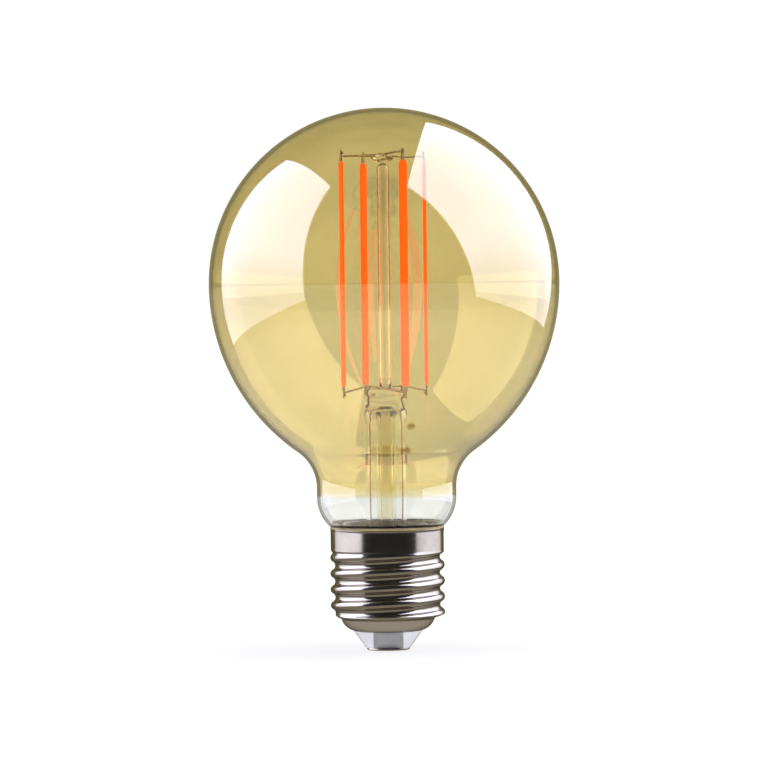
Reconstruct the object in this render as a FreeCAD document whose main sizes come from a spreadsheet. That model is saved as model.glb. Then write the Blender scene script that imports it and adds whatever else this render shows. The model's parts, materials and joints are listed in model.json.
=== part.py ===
import FreeCAD, Part
import math
import os
import Sketcher

# A globe lamp with four LED filaments, an amber-coated envelope and an Edison screw cap.
# Millimetres. The origin is the middle of the end contact's flat face and +Z runs up
# the lamp's axis to the top of the globe. +X points to the side with the rim solder.

# Driving dimensions, in millimetres, degrees for the angles, and plain counts.
SIZES = {
    # glass envelope
    "equator_height": 83.7,
    "globe_radius": 40.0,
    "lower_globe_radius": 47.0,
    "neck_radius": 15.95,
    "neck_flare_radius": 10.0,
    "shoulder_height": 35.0,
    "shoulder_foot_radius": 13.1,
    "shoulder_foot_height": 28.3,
    "collar_radius": 2.0,
    "glass_wall": 0.8,
    "neck_tube_bottom": 20.1,
    # stem: flare tube, pinch, exhaust tube and post
    "stem_radius": 4.8,
    "stem_wall": 0.75,
    "flare_start": 27.2,
    "pinch_bottom": 52.6,
    "pinch_waist": 55.4,
    "pinch_top": 59.5,
    "pinch_half_thickness": 1.8,
    "pinch_cavity_top": 54.4,
    "pinch_edge_round": 0.35,
    "cavity_slope": 0.4,
    "cavity_margin": 0.2,
    "cutter_overlap": 1.0,
    "exhaust_radius": 2.2,
    "exhaust_bore": 1.2,
    "exhaust_bottom": 19.6,
    "vent_height": 56.6,
    "vent_overlap": 0.1,
    "post_radius": 1.4,
    "post_bore": 0.95,
    "post_foot": 59.0,
    "post_top": 111.2,
    "bead_radius": 2.5,
    "bead_half_height": 1.3,
    "bead_height": 112.3,
    # wires of the mount
    "lead_offset": 3.72,
    "lead_radius": 0.2,
    "support_radius": 0.22,
    "lead_top": 60.2,
    "inner_lead_foot": 59.0,
    "dumet_foot": 52.4,
    "outer_lead_foot": 18.9,
    "arm_end_height": 59.0,
    "outer_wire_height": 112.7,
    "wire_gap": 0.05,
    # filaments
    "filament_ring": 10.5,
    "filament_bottom": 60.3,
    "filament_length": 51.2,
    "phosphor_width": 1.9,
    "phosphor_thickness": 0.7,
    "phosphor_edge_round": 0.3,
    "substrate_width": 1.0,
    "substrate_thickness": 0.3,
    "substrate_overhang": 0.6,
    "tab_width": 1.2,
    "tab_thickness": 0.5,
    "tab_length": 2.6,
    "chip_height": 0.62,
    "chip_width": 0.32,
    "chip_thickness": 0.12,
    "chip_count": 28,
    # screw shell, an E27 thread rolled in sheet brass
    "thread_pitch": 3.629,
    "thread_root_radius": 12.0,
    "thread_depth": 1.095,
    "thread_arc_radius": 1.025,
    "thread_crest_height": 18.41,
    "skirt_radius": 12.95,
    "skirt_bottom": 22.9,
    "skirt_step": 0.03,
    "shell_top": 27.8,
    "shell_bottom": 4.45,
    "shell_wall": 0.3,
    "bowl_centre_radius": 7.0,
    "bowl_centre_height": 8.2,
    "bowl_radius": 3.85,
    "thread_fade_bottom": 7.0,
    # cement, insulator and end contact
    "cement_bottom": 23.6,
    "cement_clearance": 0.05,
    "insulator_top": 6.8,
    "insulator_flange_radius": 8.6,
    "insulator_grip_margin": 0.75,
    "insulator_grip_groove": 0.15,
    "insulator_grip_height": 0.4,
    "insulator_flange_rise": 1.3,
    "insulator_lip_overhang": 0.1,
    "insulator_tip_radius": 5.2,
    "insulator_tip_inset": 0.15,
    "insulator_tip_overhang": 0.1,
    "insulator_tip_rise": 0.25,
    "contact_radius": 4.9,
    "contact_thickness": 0.5,
    "eyelet_radius": 2.0,
    "eyelet_bore": 1.0,
    "eyelet_top": 2.0,
    "eyelet_solder_gap": 0.4,
    "rim_solder_radius": 0.75,
    "rim_solder_sink": 0.1,
    "rim_solder_stand": 0.13,
    # driver
    "liner_radius": 11.4,
    "liner_wall": 0.5,
    "liner_bottom": 9.0,
    "liner_top": 17.0,
    "board_half_width": 9.4,
    "board_front": 0.6,
    "board_thickness": 1.0,
    "board_bottom": 8.2,
    "board_height": 10.7,
    "module_gap": 1.0,
    "module_rise": 0.7,
    "module_width": 15.0,
    "module_thickness": 0.8,
    "module_height": 10.0,
    "pin_count": 6,
    "pin_side": 0.6,
    "pin_step": 2.0,
    "pin_first": -5.3,
    "pin_rise": 0.5,
    "shield_width": 9.0,
    "shield_depth": 2.0,
    "shield_height": 6.8,
    "shield_sheet": 0.2,
    "shield_shift": 1.0,
    "shield_rise": 1.2,
    "radio_side": 4.0,
    "radio_depth": 0.9,
    "radio_inset": 2.0,
    "radio_rise": 1.4,
    "antenna_track": 0.3,
    "antenna_film": 0.08,
    "antenna_step": 1.2,
    "antenna_turns": 10,
    "antenna_drop": 1.9,
    "antenna_height": 1.6,
    "can_centre": -5.6,
    "can_stand_off": 0.3,
    "can_pin_spread": 1.0,
    "capacitor_level": 15.4,
    "capacitor_radius": 2.5,
    "capacitor_length": 6.5,
    "groove_centre_margin": 0.25,
    "groove_radius": 0.45,
    "groove_height": 1.1,
    "inductor_level": 10.5,
    "inductor_radius": 2.0,
    "inductor_length": 4.4,
    "inductor_flange": 0.7,
    "winding_depth": 0.6,
    "winding_inset": 0.15,
    "resistor_left": -0.6,
    "resistor_level": 11.0,
    "resistor_gap": 0.7,
    "resistor_radius": 1.3,
    "resistor_waist": 1.12,
    "resistor_cap_length": 1.4,
    "resistor_length": 6.6,
    "resistor_lead_reach": 1.0,
    "resistor_lead_bend": 0.5,
    "component_lead_radius": 0.25,
    "driver_chip_left": -1.9,
    "driver_chip_foot": 13.8,
    "driver_chip_width": 3.9,
    "driver_chip_depth": 1.5,
    "driver_chip_height": 4.6,
    "driver_chip_legs": 4,
    "bridge_left": 3.9,
    "bridge_foot": 14.2,
    "bridge_width": 4.0,
    "bridge_depth": 2.5,
    "bridge_height": 4.0,
    "bridge_legs": 2,
    "leg_reach": 0.9,
    "leg_thickness": 0.2,
    "leg_width": 0.4,
    "chip_stand_off": 0.1,
    "block_length": 1.6,
    "block_depth": 0.5,
    "block_height": 0.8,
    "live_wire_radius": 0.6,
    "live_wire_overlap": 1.0,
    "neutral_wire_radius": 0.25,
    "neutral_wire_bend": 0.6,
    "neutral_glass_gap": 0.05,
    "neutral_shell_gap": 0.02,
    "neutral_start_inset": 0.8,
    "neutral_level_gap": 1.0,
    "neutral_climb": 1.8,
    "neutral_end_gap": 0.2,
}

RING_ANGLE = 25.6              # direction of the first filament, degrees from +X
# Each filament, in turn round the ring, with its own twist about its length, as welded by hand.
FILAMENT_TWISTS = (-18.0, 25.0, -6.0, 9.0)
RIGHT_ANGLE = 90.0
THREAD_ROWS_PER_TURN = 20
THREAD_COLUMNS = 60
SLOPE_STEP = 0.001             # height difference over which a slope of the shell is measured
# Left edge and foot of each chip resistor and chip capacitor on the driver board.
BLOCK_SPOTS = ((2.3, 12.6), (7.0, 12.7), (7.4, 11.4), (7.4, 9.9), (-2.9, 12.8), (-3.2, 8.5), (1.6, 8.5))

doc = FreeCAD.newDocument("globe_lamp")
sheet = doc.addObject("Spreadsheet::Sheet", "Sizes")
parts = []


class Size:
    """A length known both as a number and as the sheet formula that gives it."""

    def __init__(self, value, formula):
        self.value = value
        self.formula = formula

    def __add__(self, other):
        other = as_size(other)
        return Size(self.value + other.value, f"({self.formula} + {other.formula})")

    def __sub__(self, other):
        other = as_size(other)
        return Size(self.value - other.value, f"({self.formula} - {other.formula})")

    def __mul__(self, other):
        other = as_size(other)
        return Size(self.value * other.value, f"({self.formula} * {other.formula})")

    def __truediv__(self, other):
        other = as_size(other)
        return Size(self.value / other.value, f"({self.formula} / {other.formula})")

    def __neg__(self):
        return Size(-self.value, f"(-{self.formula})")


def as_size(number):
    """A plain number as a Size, and a Size as it is."""
    if isinstance(number, Size):
        return number
    return Size(float(number), repr(float(number)))


def size(alias):
    """The Size behind an alias of the sheet."""
    return Size(float(sheet.get(alias)), f"Sizes.{alias}")


def value(alias):
    """The number behind an alias of the sheet."""
    return size(alias).value


def size_root(term):
    """The square root of a Size."""
    return Size(math.sqrt(term.value), f"sqrt({term.formula})")


def fill_sheet():
    """Write every driving dimension to the sheet, each under its own alias."""
    for row, (alias, number) in enumerate(SIZES.items(), start=1):
        sheet.set(f"A{row}", alias)
        sheet.set(f"B{row}", str(number))
        sheet.setAlias(f"B{row}", alias)
    doc.recompute()


def keep(obj, label):
    """Name a finished sub-part and put it on the list to be written."""
    obj.Label = label
    parts.append(obj)
    return obj


def bind(obj, prop, amount):
    """Set one property of an object from a Size or a plain number."""
    obj.setExpression(prop, as_size(amount).formula)


def turn_about_z(degrees):
    """A placement that turns about the lamp's axis."""
    return FreeCAD.Placement(FreeCAD.Vector(), FreeCAD.Rotation(FreeCAD.Vector(0, 0, 1), degrees))


# ---------------------------------------------------------------- sketched bodies

def origin_plane(body, role):
    """One of a body's own origin planes or axes, by its role."""
    for feature in body.Origin.OriginFeatures:
        if feature.Role == role:
            return feature
    raise ValueError(role)


def new_sketch(body, name, role="XZ_Plane"):
    """An empty sketch on one of a body's origin planes."""
    sketch = body.newObject("Sketcher::SketchObject", name)
    sketch.AttachmentSupport = [(origin_plane(body, role), "")]
    sketch.MapMode = "FlatFace"
    return sketch


def arc_between(start, end, radius, bulge):
    """The short arc between two points. bulge is 1 where it bows to the left of the way."""
    chord = end - start
    half = chord.Length / 2
    rise = math.sqrt(max(radius * radius - half * half, 0.0))
    left = FreeCAD.Vector(-chord.y, chord.x, 0).normalize()
    centre = (start + end) * 0.5 - left * (bulge * rise)
    middle = centre + left * (bulge * radius)
    return Part.Arc(start, middle, end)


def draw_outline(sketch, corners, arcs):
    """A closed outline through corners, each a pair of sizes.

    arcs maps the number of a stretch to its radius and bulge; other stretches are straight.
    Every corner and every radius is bound to the sheet.
    """
    spots = [FreeCAD.Vector(as_size(x).value, as_size(y).value, 0) for x, y in corners]
    count = len(spots)
    for number in range(count):
        start = spots[number]
        end = spots[(number + 1) % count]
        if number in arcs:
            radius, bulge = arcs[number]
            curve = arc_between(start, end, as_size(radius).value, bulge)
        else:
            curve = Part.LineSegment(start, end)
        sketch.addGeometry(curve, False)
    ends = [end_numbers(sketch, number, spots[number]) for number in range(count)]
    for number in range(count):
        following = (number + 1) % count
        sketch.addConstraint(
            Sketcher.Constraint("Coincident", number, ends[number][1], following, ends[following][0]))
    for number in range(count):
        bind_corner(sketch, number, ends[number][0], corners[number])
        if number in arcs:
            bind_radius(sketch, number, arcs[number][0])


def end_numbers(sketch, number, start):
    """Which end of a sketched curve is its start and which its end, as Sketcher numbers them."""
    first = sketch.getPoint(number, 1)
    if (FreeCAD.Vector(first.x, first.y, 0) - start).Length < 1e-6:
        return 1, 2
    return 2, 1


def bind_corner(sketch, number, end, corner):
    """Hold one corner of an outline at its two sizes from the sketch's origin."""
    for kind, axis, amount in (("DistanceX", -2, corner[0]), ("DistanceY", -1, corner[1])):
        amount = as_size(amount)
        if abs(amount.value) < 1e-9:
            sketch.addConstraint(Sketcher.Constraint("PointOnObject", number, end, axis))
            continue
        index = sketch.addConstraint(Sketcher.Constraint(kind, -1, 1, number, end, amount.value))
        sketch.setExpression(f"Constraints[{index}]", amount.formula)


def bind_radius(sketch, number, radius):
    """Hold the radius of one arc."""
    index = sketch.addConstraint(Sketcher.Constraint("Radius", number, as_size(radius).value))
    sketch.setExpression(f"Constraints[{index}]", as_size(radius).formula)


def turned_body(name, corners, arcs=None):
    """A body turned about the lamp's axis from a half section of radius and height pairs."""
    body = doc.addObject("PartDesign::Body", name)
    section = new_sketch(body, f"{name}_section")
    draw_outline(section, corners, arcs or {})
    turning = body.newObject("PartDesign::Revolution", f"{name}_turning")
    turning.Profile = section
    turning.ReferenceAxis = (section, ["V_Axis"])
    turning.Angle = 360.0
    doc.recompute()
    return body


# ---------------------------------------------------------------- plain solids

def block(name, low, lengths):
    """A box from its lowest corner and its three lengths."""
    box = doc.addObject("Part::Box", name)
    for prop, amount in zip(("Length", "Width", "Height"), lengths):
        bind(box, prop, amount)
    for axis, amount in zip("xyz", low):
        bind(box, f"Placement.Base.{axis}", amount)
    return box


def rod(name, foot, radius, length, direction=(0, 0, 1)):
    """A cylinder from the middle of its foot, along a direction."""
    cylinder = doc.addObject("Part::Cylinder", name)
    turning = FreeCAD.Rotation(FreeCAD.Vector(0, 0, 1), FreeCAD.Vector(*direction))
    cylinder.Placement = FreeCAD.Placement(FreeCAD.Vector(), turning)
    bind(cylinder, "Radius", radius)
    bind(cylinder, "Height", length)
    for axis, amount in zip("xyz", foot):
        bind(cylinder, f"Placement.Base.{axis}", amount)
    return cylinder


def joined(name, pieces):
    """Several solids fused into one."""
    fusion = doc.addObject("Part::MultiFuse", name)
    fusion.Shapes = pieces
    return fusion


def less(name, base, tool):
    """One solid with another cut out of it."""
    cut = doc.addObject("Part::Cut", name)
    cut.Base = base
    cut.Tool = tool
    return cut


def shaped(name, shape, placement=None):
    """A sub-part whose shape is worked out here, from sizes read off the sheet."""
    feature = doc.addObject("Part::Feature", name)
    feature.Shape = shape
    if placement is not None:
        feature.Placement = placement
    return feature


def rounded_run(points, bend):
    """A wire path of straight runs joined by tangent arcs of one radius."""
    spots = [FreeCAD.Vector(*point) for point in points]
    edges = []
    start = spots[0]
    for before, corner, after in zip(spots, spots[1:], spots[2:]):
        back = (before - corner).normalize()
        onward = (after - corner).normalize()
        half_angle = back.getAngle(onward) / 2
        setback = bend / math.tan(half_angle)
        centre = corner + (back + onward).normalize() * (bend / math.sin(half_angle))
        entry = corner + back * setback
        leave = corner + onward * setback
        middle = centre + (corner - centre).normalize() * bend
        edges.append(Part.LineSegment(start, entry).toShape())
        edges.append(Part.Arc(entry, middle, leave).toShape())
        start = leave
    edges.append(Part.LineSegment(start, spots[-1]).toShape())
    return Part.Wire(edges)


def bent_wire(points, radius, bend):
    """The solid of a round wire along a path with rounded corners."""
    path = rounded_run(points, bend)
    first = FreeCAD.Vector(*points[0])
    heading = FreeCAD.Vector(*points[1]) - first
    ring = Part.Wire(Part.makeCircle(radius, first, heading))
    return path.makePipeShell([ring], True, False)


# ---------------------------------------------------------------- glass

def globe_outline():
    """The corners that the envelope's outer and inner surfaces share, as named sizes."""
    equator = size("equator_height")
    lower_centre = size("globe_radius") - size("lower_globe_radius")
    flare = size("neck_flare_radius")
    flare_centre = size("neck_radius") + flare
    reach = size("lower_globe_radius") + flare
    across = flare_centre - lower_centre
    down = size_root(reach * reach - across * across)
    return equator, lower_centre, reach, across, down


def make_envelope():
    """The blown envelope: globe, neck, shoulder and the neck tube that the cap hides."""
    equator, lower_centre, reach, across, down = globe_outline()
    wall = size("glass_wall")
    globe = size("globe_radius")
    lower = size("lower_globe_radius")
    flare = size("neck_flare_radius")
    neck = size("neck_radius")
    shoulder = size("shoulder_height")
    foot_radius = size("shoulder_foot_radius")
    foot = size("shoulder_foot_height")
    collar = size("collar_radius")
    tube = foot_radius - collar
    bottom = size("neck_tube_bottom")
    drop = neck - foot_radius
    fall = shoulder - foot
    shoulder_radius = (fall * fall + drop * drop) / (drop * 2)
    shoulder_centre = neck - shoulder_radius
    inner_shoulder = shoulder_radius - wall
    inner_foot = foot + wall
    inner_fall = shoulder - inner_foot
    inner_half = size_root(inner_shoulder * inner_shoulder - inner_fall * inner_fall)
    inner_foot_radius = shoulder_centre + inner_half
    neck_top = equator - down
    corners = [
        (0, equator + globe),
        (globe, equator),
        (lower_centre + lower * across / reach, equator - lower * down / reach),
        (neck, neck_top),
        (neck, shoulder),
        (foot_radius, foot),
        (tube, foot - collar),
        (tube, bottom),
        (tube - wall, bottom),
        (tube - wall, foot - collar),
        (inner_foot_radius, inner_foot),
        (neck - wall, shoulder),
        (neck - wall, neck_top),
        (lower_centre + (lower - wall) * across / reach, equator - (lower - wall) * down / reach),
        (globe - wall, equator),
        (0, equator + globe - wall),
    ]
    arcs = {
        0: (globe, 1),
        1: (lower, 1),
        2: (flare, -1),
        4: (shoulder_radius, 1),
        5: (collar, -1),
        9: (collar + wall, 1),
        10: (inner_shoulder, -1),
        12: (flare + wall, 1),
        13: (lower - wall, -1),
        14: (globe - wall, -1),
    }
    keep(turned_body("glass_envelope", corners, arcs), "glass_envelope")


def make_flare_tube():
    """The stem's tube, which flares out at its foot to the neck tube's wall."""
    outer = size("stem_radius")
    wall = size("stem_wall")
    start = size("flare_start")
    edge = size("shoulder_foot_radius") - size("collar_radius") - size("glass_wall")
    top = size("pinch_bottom")
    sweep = edge - outer
    corners = [
        (outer, top),
        (outer, start),
        (edge, start - sweep),
        (edge, start - sweep - wall),
        (outer - wall, start),
        (outer - wall, top),
    ]
    arcs = {1: (sweep, -1), 3: (sweep + wall, 1)}
    keep(turned_body("flare_tube", corners, arcs), "flare_tube")


def squeezed_rod(name, radius, bottom, waist, top, half_thickness):
    """A round rod squeezed flat above its waist, as a press leaves hot glass."""
    core = rod(f"{name}_core", (0, 0, bottom), radius, top - bottom)
    outline = [(-radius, bottom), (radius, bottom), (half_thickness, waist),
               (half_thickness, top), (-half_thickness, top), (-half_thickness, waist)]
    body = doc.addObject("PartDesign::Body", f"{name}_press")
    section = new_sketch(body, f"{name}_press_section", "YZ_Plane")
    draw_outline(section, outline, {})
    pad = body.newObject("PartDesign::Pad", f"{name}_press_pad")
    pad.Profile = section
    pad.Midplane = True
    bind(pad, "Length", radius * 3)
    squeezed = doc.addObject("Part::Common", name)
    squeezed.Base = core
    squeezed.Tool = body
    doc.recompute()
    return squeezed


def make_pinch():
    """The pressed glass that seals both leads and opens the exhaust tube into the globe."""
    bottom = size("pinch_bottom")
    top = size("pinch_top")
    radius = size("stem_radius")
    half = size("pinch_half_thickness")
    bore = size("exhaust_bore")
    cavity_top = size("pinch_cavity_top")
    vent = size("vent_height")
    press = squeezed_rod("pinch_glass", radius, bottom, size("pinch_waist"), top, half)
    hollow = squeezed_rod("pinch_hollow", radius - size("stem_wall"), bottom,
                          cavity_top - size("cavity_slope"), cavity_top,
                          size("exhaust_radius") + size("cavity_margin"))
    rounded = doc.addObject("Part::Fillet", "pinch_rounded")
    rounded.Base = press
    round_off = value("pinch_edge_round")
    rounded.Edges = [(number, round_off, round_off) for number in top_edges(press, top.value)]
    cutters = [
        hollow,
        rod("vent_riser", (0, 0, cavity_top - size("vent_overlap")), bore, vent - cavity_top),
        rod("vent_mouth", (0, 0, vent), bore, radius, (0, -1, 0)),
        rod("post_socket", (0, 0, size("post_foot")), size("post_radius"), size("cutter_overlap")),
    ]
    for side, place in (("left", -size("lead_offset")), ("right", size("lead_offset"))):
        foot = bottom - size("cutter_overlap")
        length = top - foot + size("cutter_overlap")
        cutters.append(rod(f"lead_hole_{side}", (place, 0, foot), size("lead_radius"), length))
    keep(less("pinch_press", rounded, joined("pinch_cutters", cutters)), "pinch_press")


def top_edges(obj, height):
    """The numbers of an object's edges that lie flat at one height."""
    doc.recompute()
    numbers = []
    for number, edge in enumerate(obj.Shape.Edges, start=1):
        box = edge.BoundBox
        if abs(box.ZMin - height) < 1e-4 and abs(box.ZMax - height) < 1e-4:
            numbers.append(number)
    return numbers


def make_exhaust_tube():
    """The tube that the lamp was pumped and filled through, melted shut at its tip."""
    outer = size("exhaust_radius")
    bore = size("exhaust_bore")
    bottom = size("exhaust_bottom")
    top = size("pinch_cavity_top")
    corners = [
        (0, bottom),
        (outer, bottom + outer),
        (outer, top),
        (bore, top),
        (bore, bottom + outer),
        (0, bottom + outer - bore),
    ]
    arcs = {0: (outer, -1), 4: (bore, 1)}
    keep(turned_body("exhaust_tube", corners, arcs), "exhaust_tube")


def make_post():
    """The hollow glass post that carries the top supports."""
    outer = size("post_radius")
    bore = size("post_bore")
    foot = size("post_foot")
    top = size("post_top")
    corners = [
        (bore, foot),
        (outer, foot),
        (outer, top - outer),
        (0, top),
        (0, top - outer + bore),
        (bore, top - outer),
    ]
    arcs = {2: (outer, -1), 4: (bore, 1)}
    keep(turned_body("centre_post", corners, arcs), "centre_post")


# ---------------------------------------------------------------- filaments and wires

def ring_placement(number):
    """Where a filament stands: turned to its place on the ring, then twisted on its own length."""
    spot = turn_about_z(RING_ANGLE + number * RIGHT_ANGLE)
    out = FreeCAD.Placement(FreeCAD.Vector(value("filament_ring"), 0, 0), FreeCAD.Rotation())
    return spot.multiply(out).multiply(turn_about_z(FILAMENT_TWISTS[number]))


def upright(name, width, thickness, bottom, length, placement):
    """A strip on a filament's own axes: thickness outwards, width sideways, length up."""
    strip = doc.addObject("Part::Box", name)
    bind(strip, "Length", thickness)
    bind(strip, "Width", width)
    bind(strip, "Height", length)
    corner = FreeCAD.Vector(-as_size(thickness).value / 2, -as_size(width).value / 2, as_size(bottom).value)
    strip.Placement = placement.multiply(FreeCAD.Placement(corner, FreeCAD.Rotation()))
    return strip


def chip_boxes(number):
    """The LED chips of one filament as separate solids in a row up the strip's outer face."""
    placement = ring_placement(number)
    thickness = value("chip_thickness")
    width = value("chip_width")
    tall = value("chip_height")
    count = int(value("chip_count"))
    step = value("filament_length") / count
    face = value("substrate_thickness") / 2
    boxes = []
    for index in range(count):
        height = value("filament_bottom") + step * (index + 0.5) - tall / 2
        box = Part.makeBox(thickness, width, tall, FreeCAD.Vector(face, -width / 2, height))
        boxes.append(box)
    return shaped(f"filament_{number + 1}_chips", Part.makeCompound(boxes), placement)


def make_filament(number):
    """One LED filament: a carrier strip with its chips, the phosphor coat and a tab at each end."""
    name = f"filament_{number + 1}"
    placement = ring_placement(number)
    bottom = size("filament_bottom")
    length = size("filament_length")
    over = size("substrate_overhang")
    tab = size("tab_length")
    carrier = upright(f"{name}_substrate", size("substrate_width"), size("substrate_thickness"),
                      bottom - over, length + over * 2, placement)
    chips = chip_boxes(number)
    coat = upright(f"{name}_coat", size("phosphor_width"), size("phosphor_thickness"),
                   bottom, length, placement)
    doc.recompute()
    rounded = doc.addObject("Part::Fillet", f"{name}_rounded")
    rounded.Base = coat
    round_off = value("phosphor_edge_round")
    rounded.Edges = [(edge, round_off, round_off) for edge in long_edges(coat)]
    hollow = joined(f"{name}_inside", [carrier, chips])
    phosphor = less(f"{name}_phosphor", rounded, hollow)
    tabs = joined(f"{name}_both_tabs", [
        upright(f"{name}_tab_low", size("tab_width"), size("tab_thickness"), bottom - tab, tab, placement),
        upright(f"{name}_tab_high", size("tab_width"), size("tab_thickness"),
                bottom + length, tab, placement),
    ])
    clips = less(f"{name}_tabs", tabs, carrier)
    keep(carrier, f"{name}_substrate")
    keep(chips, f"{name}_chips")
    keep(phosphor, f"{name}_phosphor")
    keep(clips, f"{name}_tabs")
    return clips


def long_edges(box):
    """The numbers of a strip's four long edges."""
    return [number for number, edge in enumerate(box.Shape.Edges, start=1)
            if edge.Length > value("filament_length") / 2]


def support_wire(label, height, number, tabs):
    """A straight support wire across the ring, welded to two opposite filaments' top tabs."""
    reach = value("filament_ring")
    across = turn_about_z(RING_ANGLE + number * RIGHT_ANGLE)
    foot = across.multVec(FreeCAD.Vector(-reach, 0, height.value))
    heading = across.multVec(FreeCAD.Vector(1, 0, 0))
    wire = rod(f"{label}_run", (foot.x, foot.y, height), size("support_radius"),
               size("filament_ring") * 2, heading)
    ends = joined(f"{label}_ends", [tabs[number], tabs[number + 2]])
    return keep(less(label, wire, ends), label)


def make_bead(wires):
    """The glass bead at the post's tip, melted round both support wires."""
    ball = doc.addObject("Part::Ellipsoid", "bead_ball")
    bind(ball, "Radius1", size("bead_half_height"))
    bind(ball, "Radius2", size("bead_radius"))
    bind(ball, "Placement.Base.z", size("bead_height"))
    tip = doc.addObject("Part::Sphere", "post_tip")
    bind(tip, "Radius", size("post_radius"))
    bind(tip, "Placement.Base.z", size("post_top") - size("post_radius"))
    cutters = joined("bead_cutters", wires + [tip])
    keep(less("post_bead", ball, cutters), "post_bead")


def arm_run(label, lead_x, ends, tabs):
    """A bent wire that joins one lead to a pair of filaments' bottom tabs."""
    top = value("lead_top")
    height = value("arm_end_height")
    radius = value("support_radius")
    reach = value("filament_ring")
    corner = FreeCAD.Vector(lead_x, 0, top)
    runs = [Part.makeSphere(radius, corner)]
    for number in ends:
        tip = turn_about_z(RING_ANGLE + number * RIGHT_ANGLE).multVec(FreeCAD.Vector(reach, 0, height))
        runs.append(Part.makeCylinder(radius, (tip - corner).Length, corner, tip - corner))
    shape = runs[0].fuse(runs[1:])
    wire = shaped(f"{label}_run", shape.removeSplitter())
    welds = joined(f"{label}_welds", [tabs[number] for number in ends])
    return keep(less(label, wire, welds), label)


def make_leads(arms):
    """The two leads, each a nickel tip, a dumet seal and a copper tail, end to end."""
    radius = size("lead_radius")
    stretches = [
        ("inner_lead", size("inner_lead_foot"), size("lead_top")),
        ("dumet_seal", size("dumet_foot"), size("inner_lead_foot")),
        ("outer_lead", size("outer_lead_foot"), size("dumet_foot")),
    ]
    sides = (("left", -size("lead_offset"), arms[0]), ("right", size("lead_offset"), arms[1]))
    for side, place, arm in sides:
        for name, low, high in stretches:
            label = f"{name}_{side}"
            wire = rod(f"{label}_wire", (place, 0, low), radius, high - low)
            if name == "inner_lead":
                wire = less(f"{label}_cut", wire, arm)
            keep(wire, label)


# ---------------------------------------------------------------- cap

def thread_wave(phase):
    """Height of the rolled thread, from 0 at a root to 1 at a crest, over one turn of phase."""
    pitch = value("thread_pitch")
    arc = value("thread_arc_radius")
    offset = (phase - round(phase)) * pitch
    if abs(offset) < pitch / 4:
        rise = value("thread_depth") - arc + math.sqrt(arc * arc - offset * offset)
    else:
        back = pitch / 2 - abs(offset)
        rise = arc - math.sqrt(arc * arc - back * back)
    return rise / value("thread_depth")


def smooth_step(low, high, place):
    """A soft step from 0 to 1 between two heights."""
    share = min(max((place - low) / (high - low), 0.0), 1.0)
    return share * share * (3 - 2 * share)


def shell_radius(height, turn):
    """Outer radius of the screw shell at a height and at a share of a turn."""
    below = max(value("bowl_centre_height") - height, 0.0)
    bowl = value("bowl_centre_radius") + math.sqrt(value("bowl_radius") ** 2 - below ** 2)
    fade_low = value("thread_fade_bottom")
    into_thread = smooth_step(fade_low, fade_low + value("thread_pitch") / 3, height)
    skirt = value("skirt_bottom")
    into_skirt = smooth_step(skirt - value("thread_pitch") / 3, skirt, height)
    root = bowl + (value("thread_root_radius") - bowl) * into_thread
    plain = root + (value("skirt_radius") - value("skirt_step") - root) * into_skirt
    phase = (height - value("thread_crest_height")) / value("thread_pitch") - (turn - 0.5)
    depth = value("thread_depth") * into_thread * (1 - into_skirt)
    return plain + depth * thread_wave(phase)


def shell_point(height, turn, inset):
    """A point of the shell's wall, inset square to its outer surface."""
    above = height + SLOPE_STEP
    under = max(height - SLOPE_STEP, value("shell_bottom"))
    radius = shell_radius(height, turn)
    lean = (shell_radius(above, turn) - shell_radius(under, turn)) / (above - under)
    steep = math.hypot(1.0, lean)
    radius = radius - inset / steep
    height = height + inset * lean / steep
    angle = 2 * math.pi * (turn + 0.25)
    return FreeCAD.Vector(radius * math.cos(angle), radius * math.sin(angle), height)


def shell_skin(inset):
    """One skin of the thread and the bowl, as a surface through a net of its points."""
    bottom = value("shell_bottom")
    top = value("skirt_bottom")
    rows = math.ceil((top - bottom) / value("thread_pitch") * THREAD_ROWS_PER_TURN)
    net = []
    for column in range(THREAD_COLUMNS + 1):
        turn = (column % THREAD_COLUMNS) / THREAD_COLUMNS
        net.append([shell_point(bottom + (top - bottom) * row / rows, turn, inset)
                    for row in range(rows + 1)])
    surface = Part.BSplineSurface()
    surface.interpolate(net)
    return surface.toShape()


def skirt_skin(inset):
    """One skin of the plain skirt above the thread, a true cylinder."""
    foot = FreeCAD.Vector(0, 0, value("skirt_bottom"))
    edge = Part.makeCircle(value("skirt_radius") - inset, foot)
    edge.rotate(FreeCAD.Vector(), FreeCAD.Vector(0, 0, 1), 90)
    return edge.extrude(FreeCAD.Vector(0, 0, value("shell_top") - value("skirt_bottom")))


def rim_edge(skin, height):
    """The edge of a skin nearest to a height all the way round."""
    return min(skin.Edges, key=lambda edge: abs(edge.BoundBox.ZMin - height) + edge.BoundBox.ZLength)


def ruled_between(skins, height):
    """The narrow face between the edges of two skins at one height."""
    return Part.makeRuledSurface(*[rim_edge(skin, height) for skin in skins])


def make_screw_shell():
    """The cap's shell: skirt, rolled screw thread and the bowl that grips the insulator."""
    insets = (0.0, value("shell_wall"))
    skins = [shell_skin(inset) for inset in insets]
    skirts = [skirt_skin(inset) for inset in insets]
    narrow = [ruled_between(pair, value("skirt_bottom")) for pair in zip(skins, skirts)]
    narrow.append(ruled_between(skins, value("shell_bottom")))
    narrow.append(ruled_between(skirts, value("shell_top")))
    skin = Part.makeShell([face for shape in skins + skirts + narrow for face in shape.Faces])
    skin.sewShape()
    solid = Part.makeSolid(skin)
    if solid.Volume < 0:
        solid.reverse()
    keep(shaped("screw_shell", solid), "screw_shell")


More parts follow.
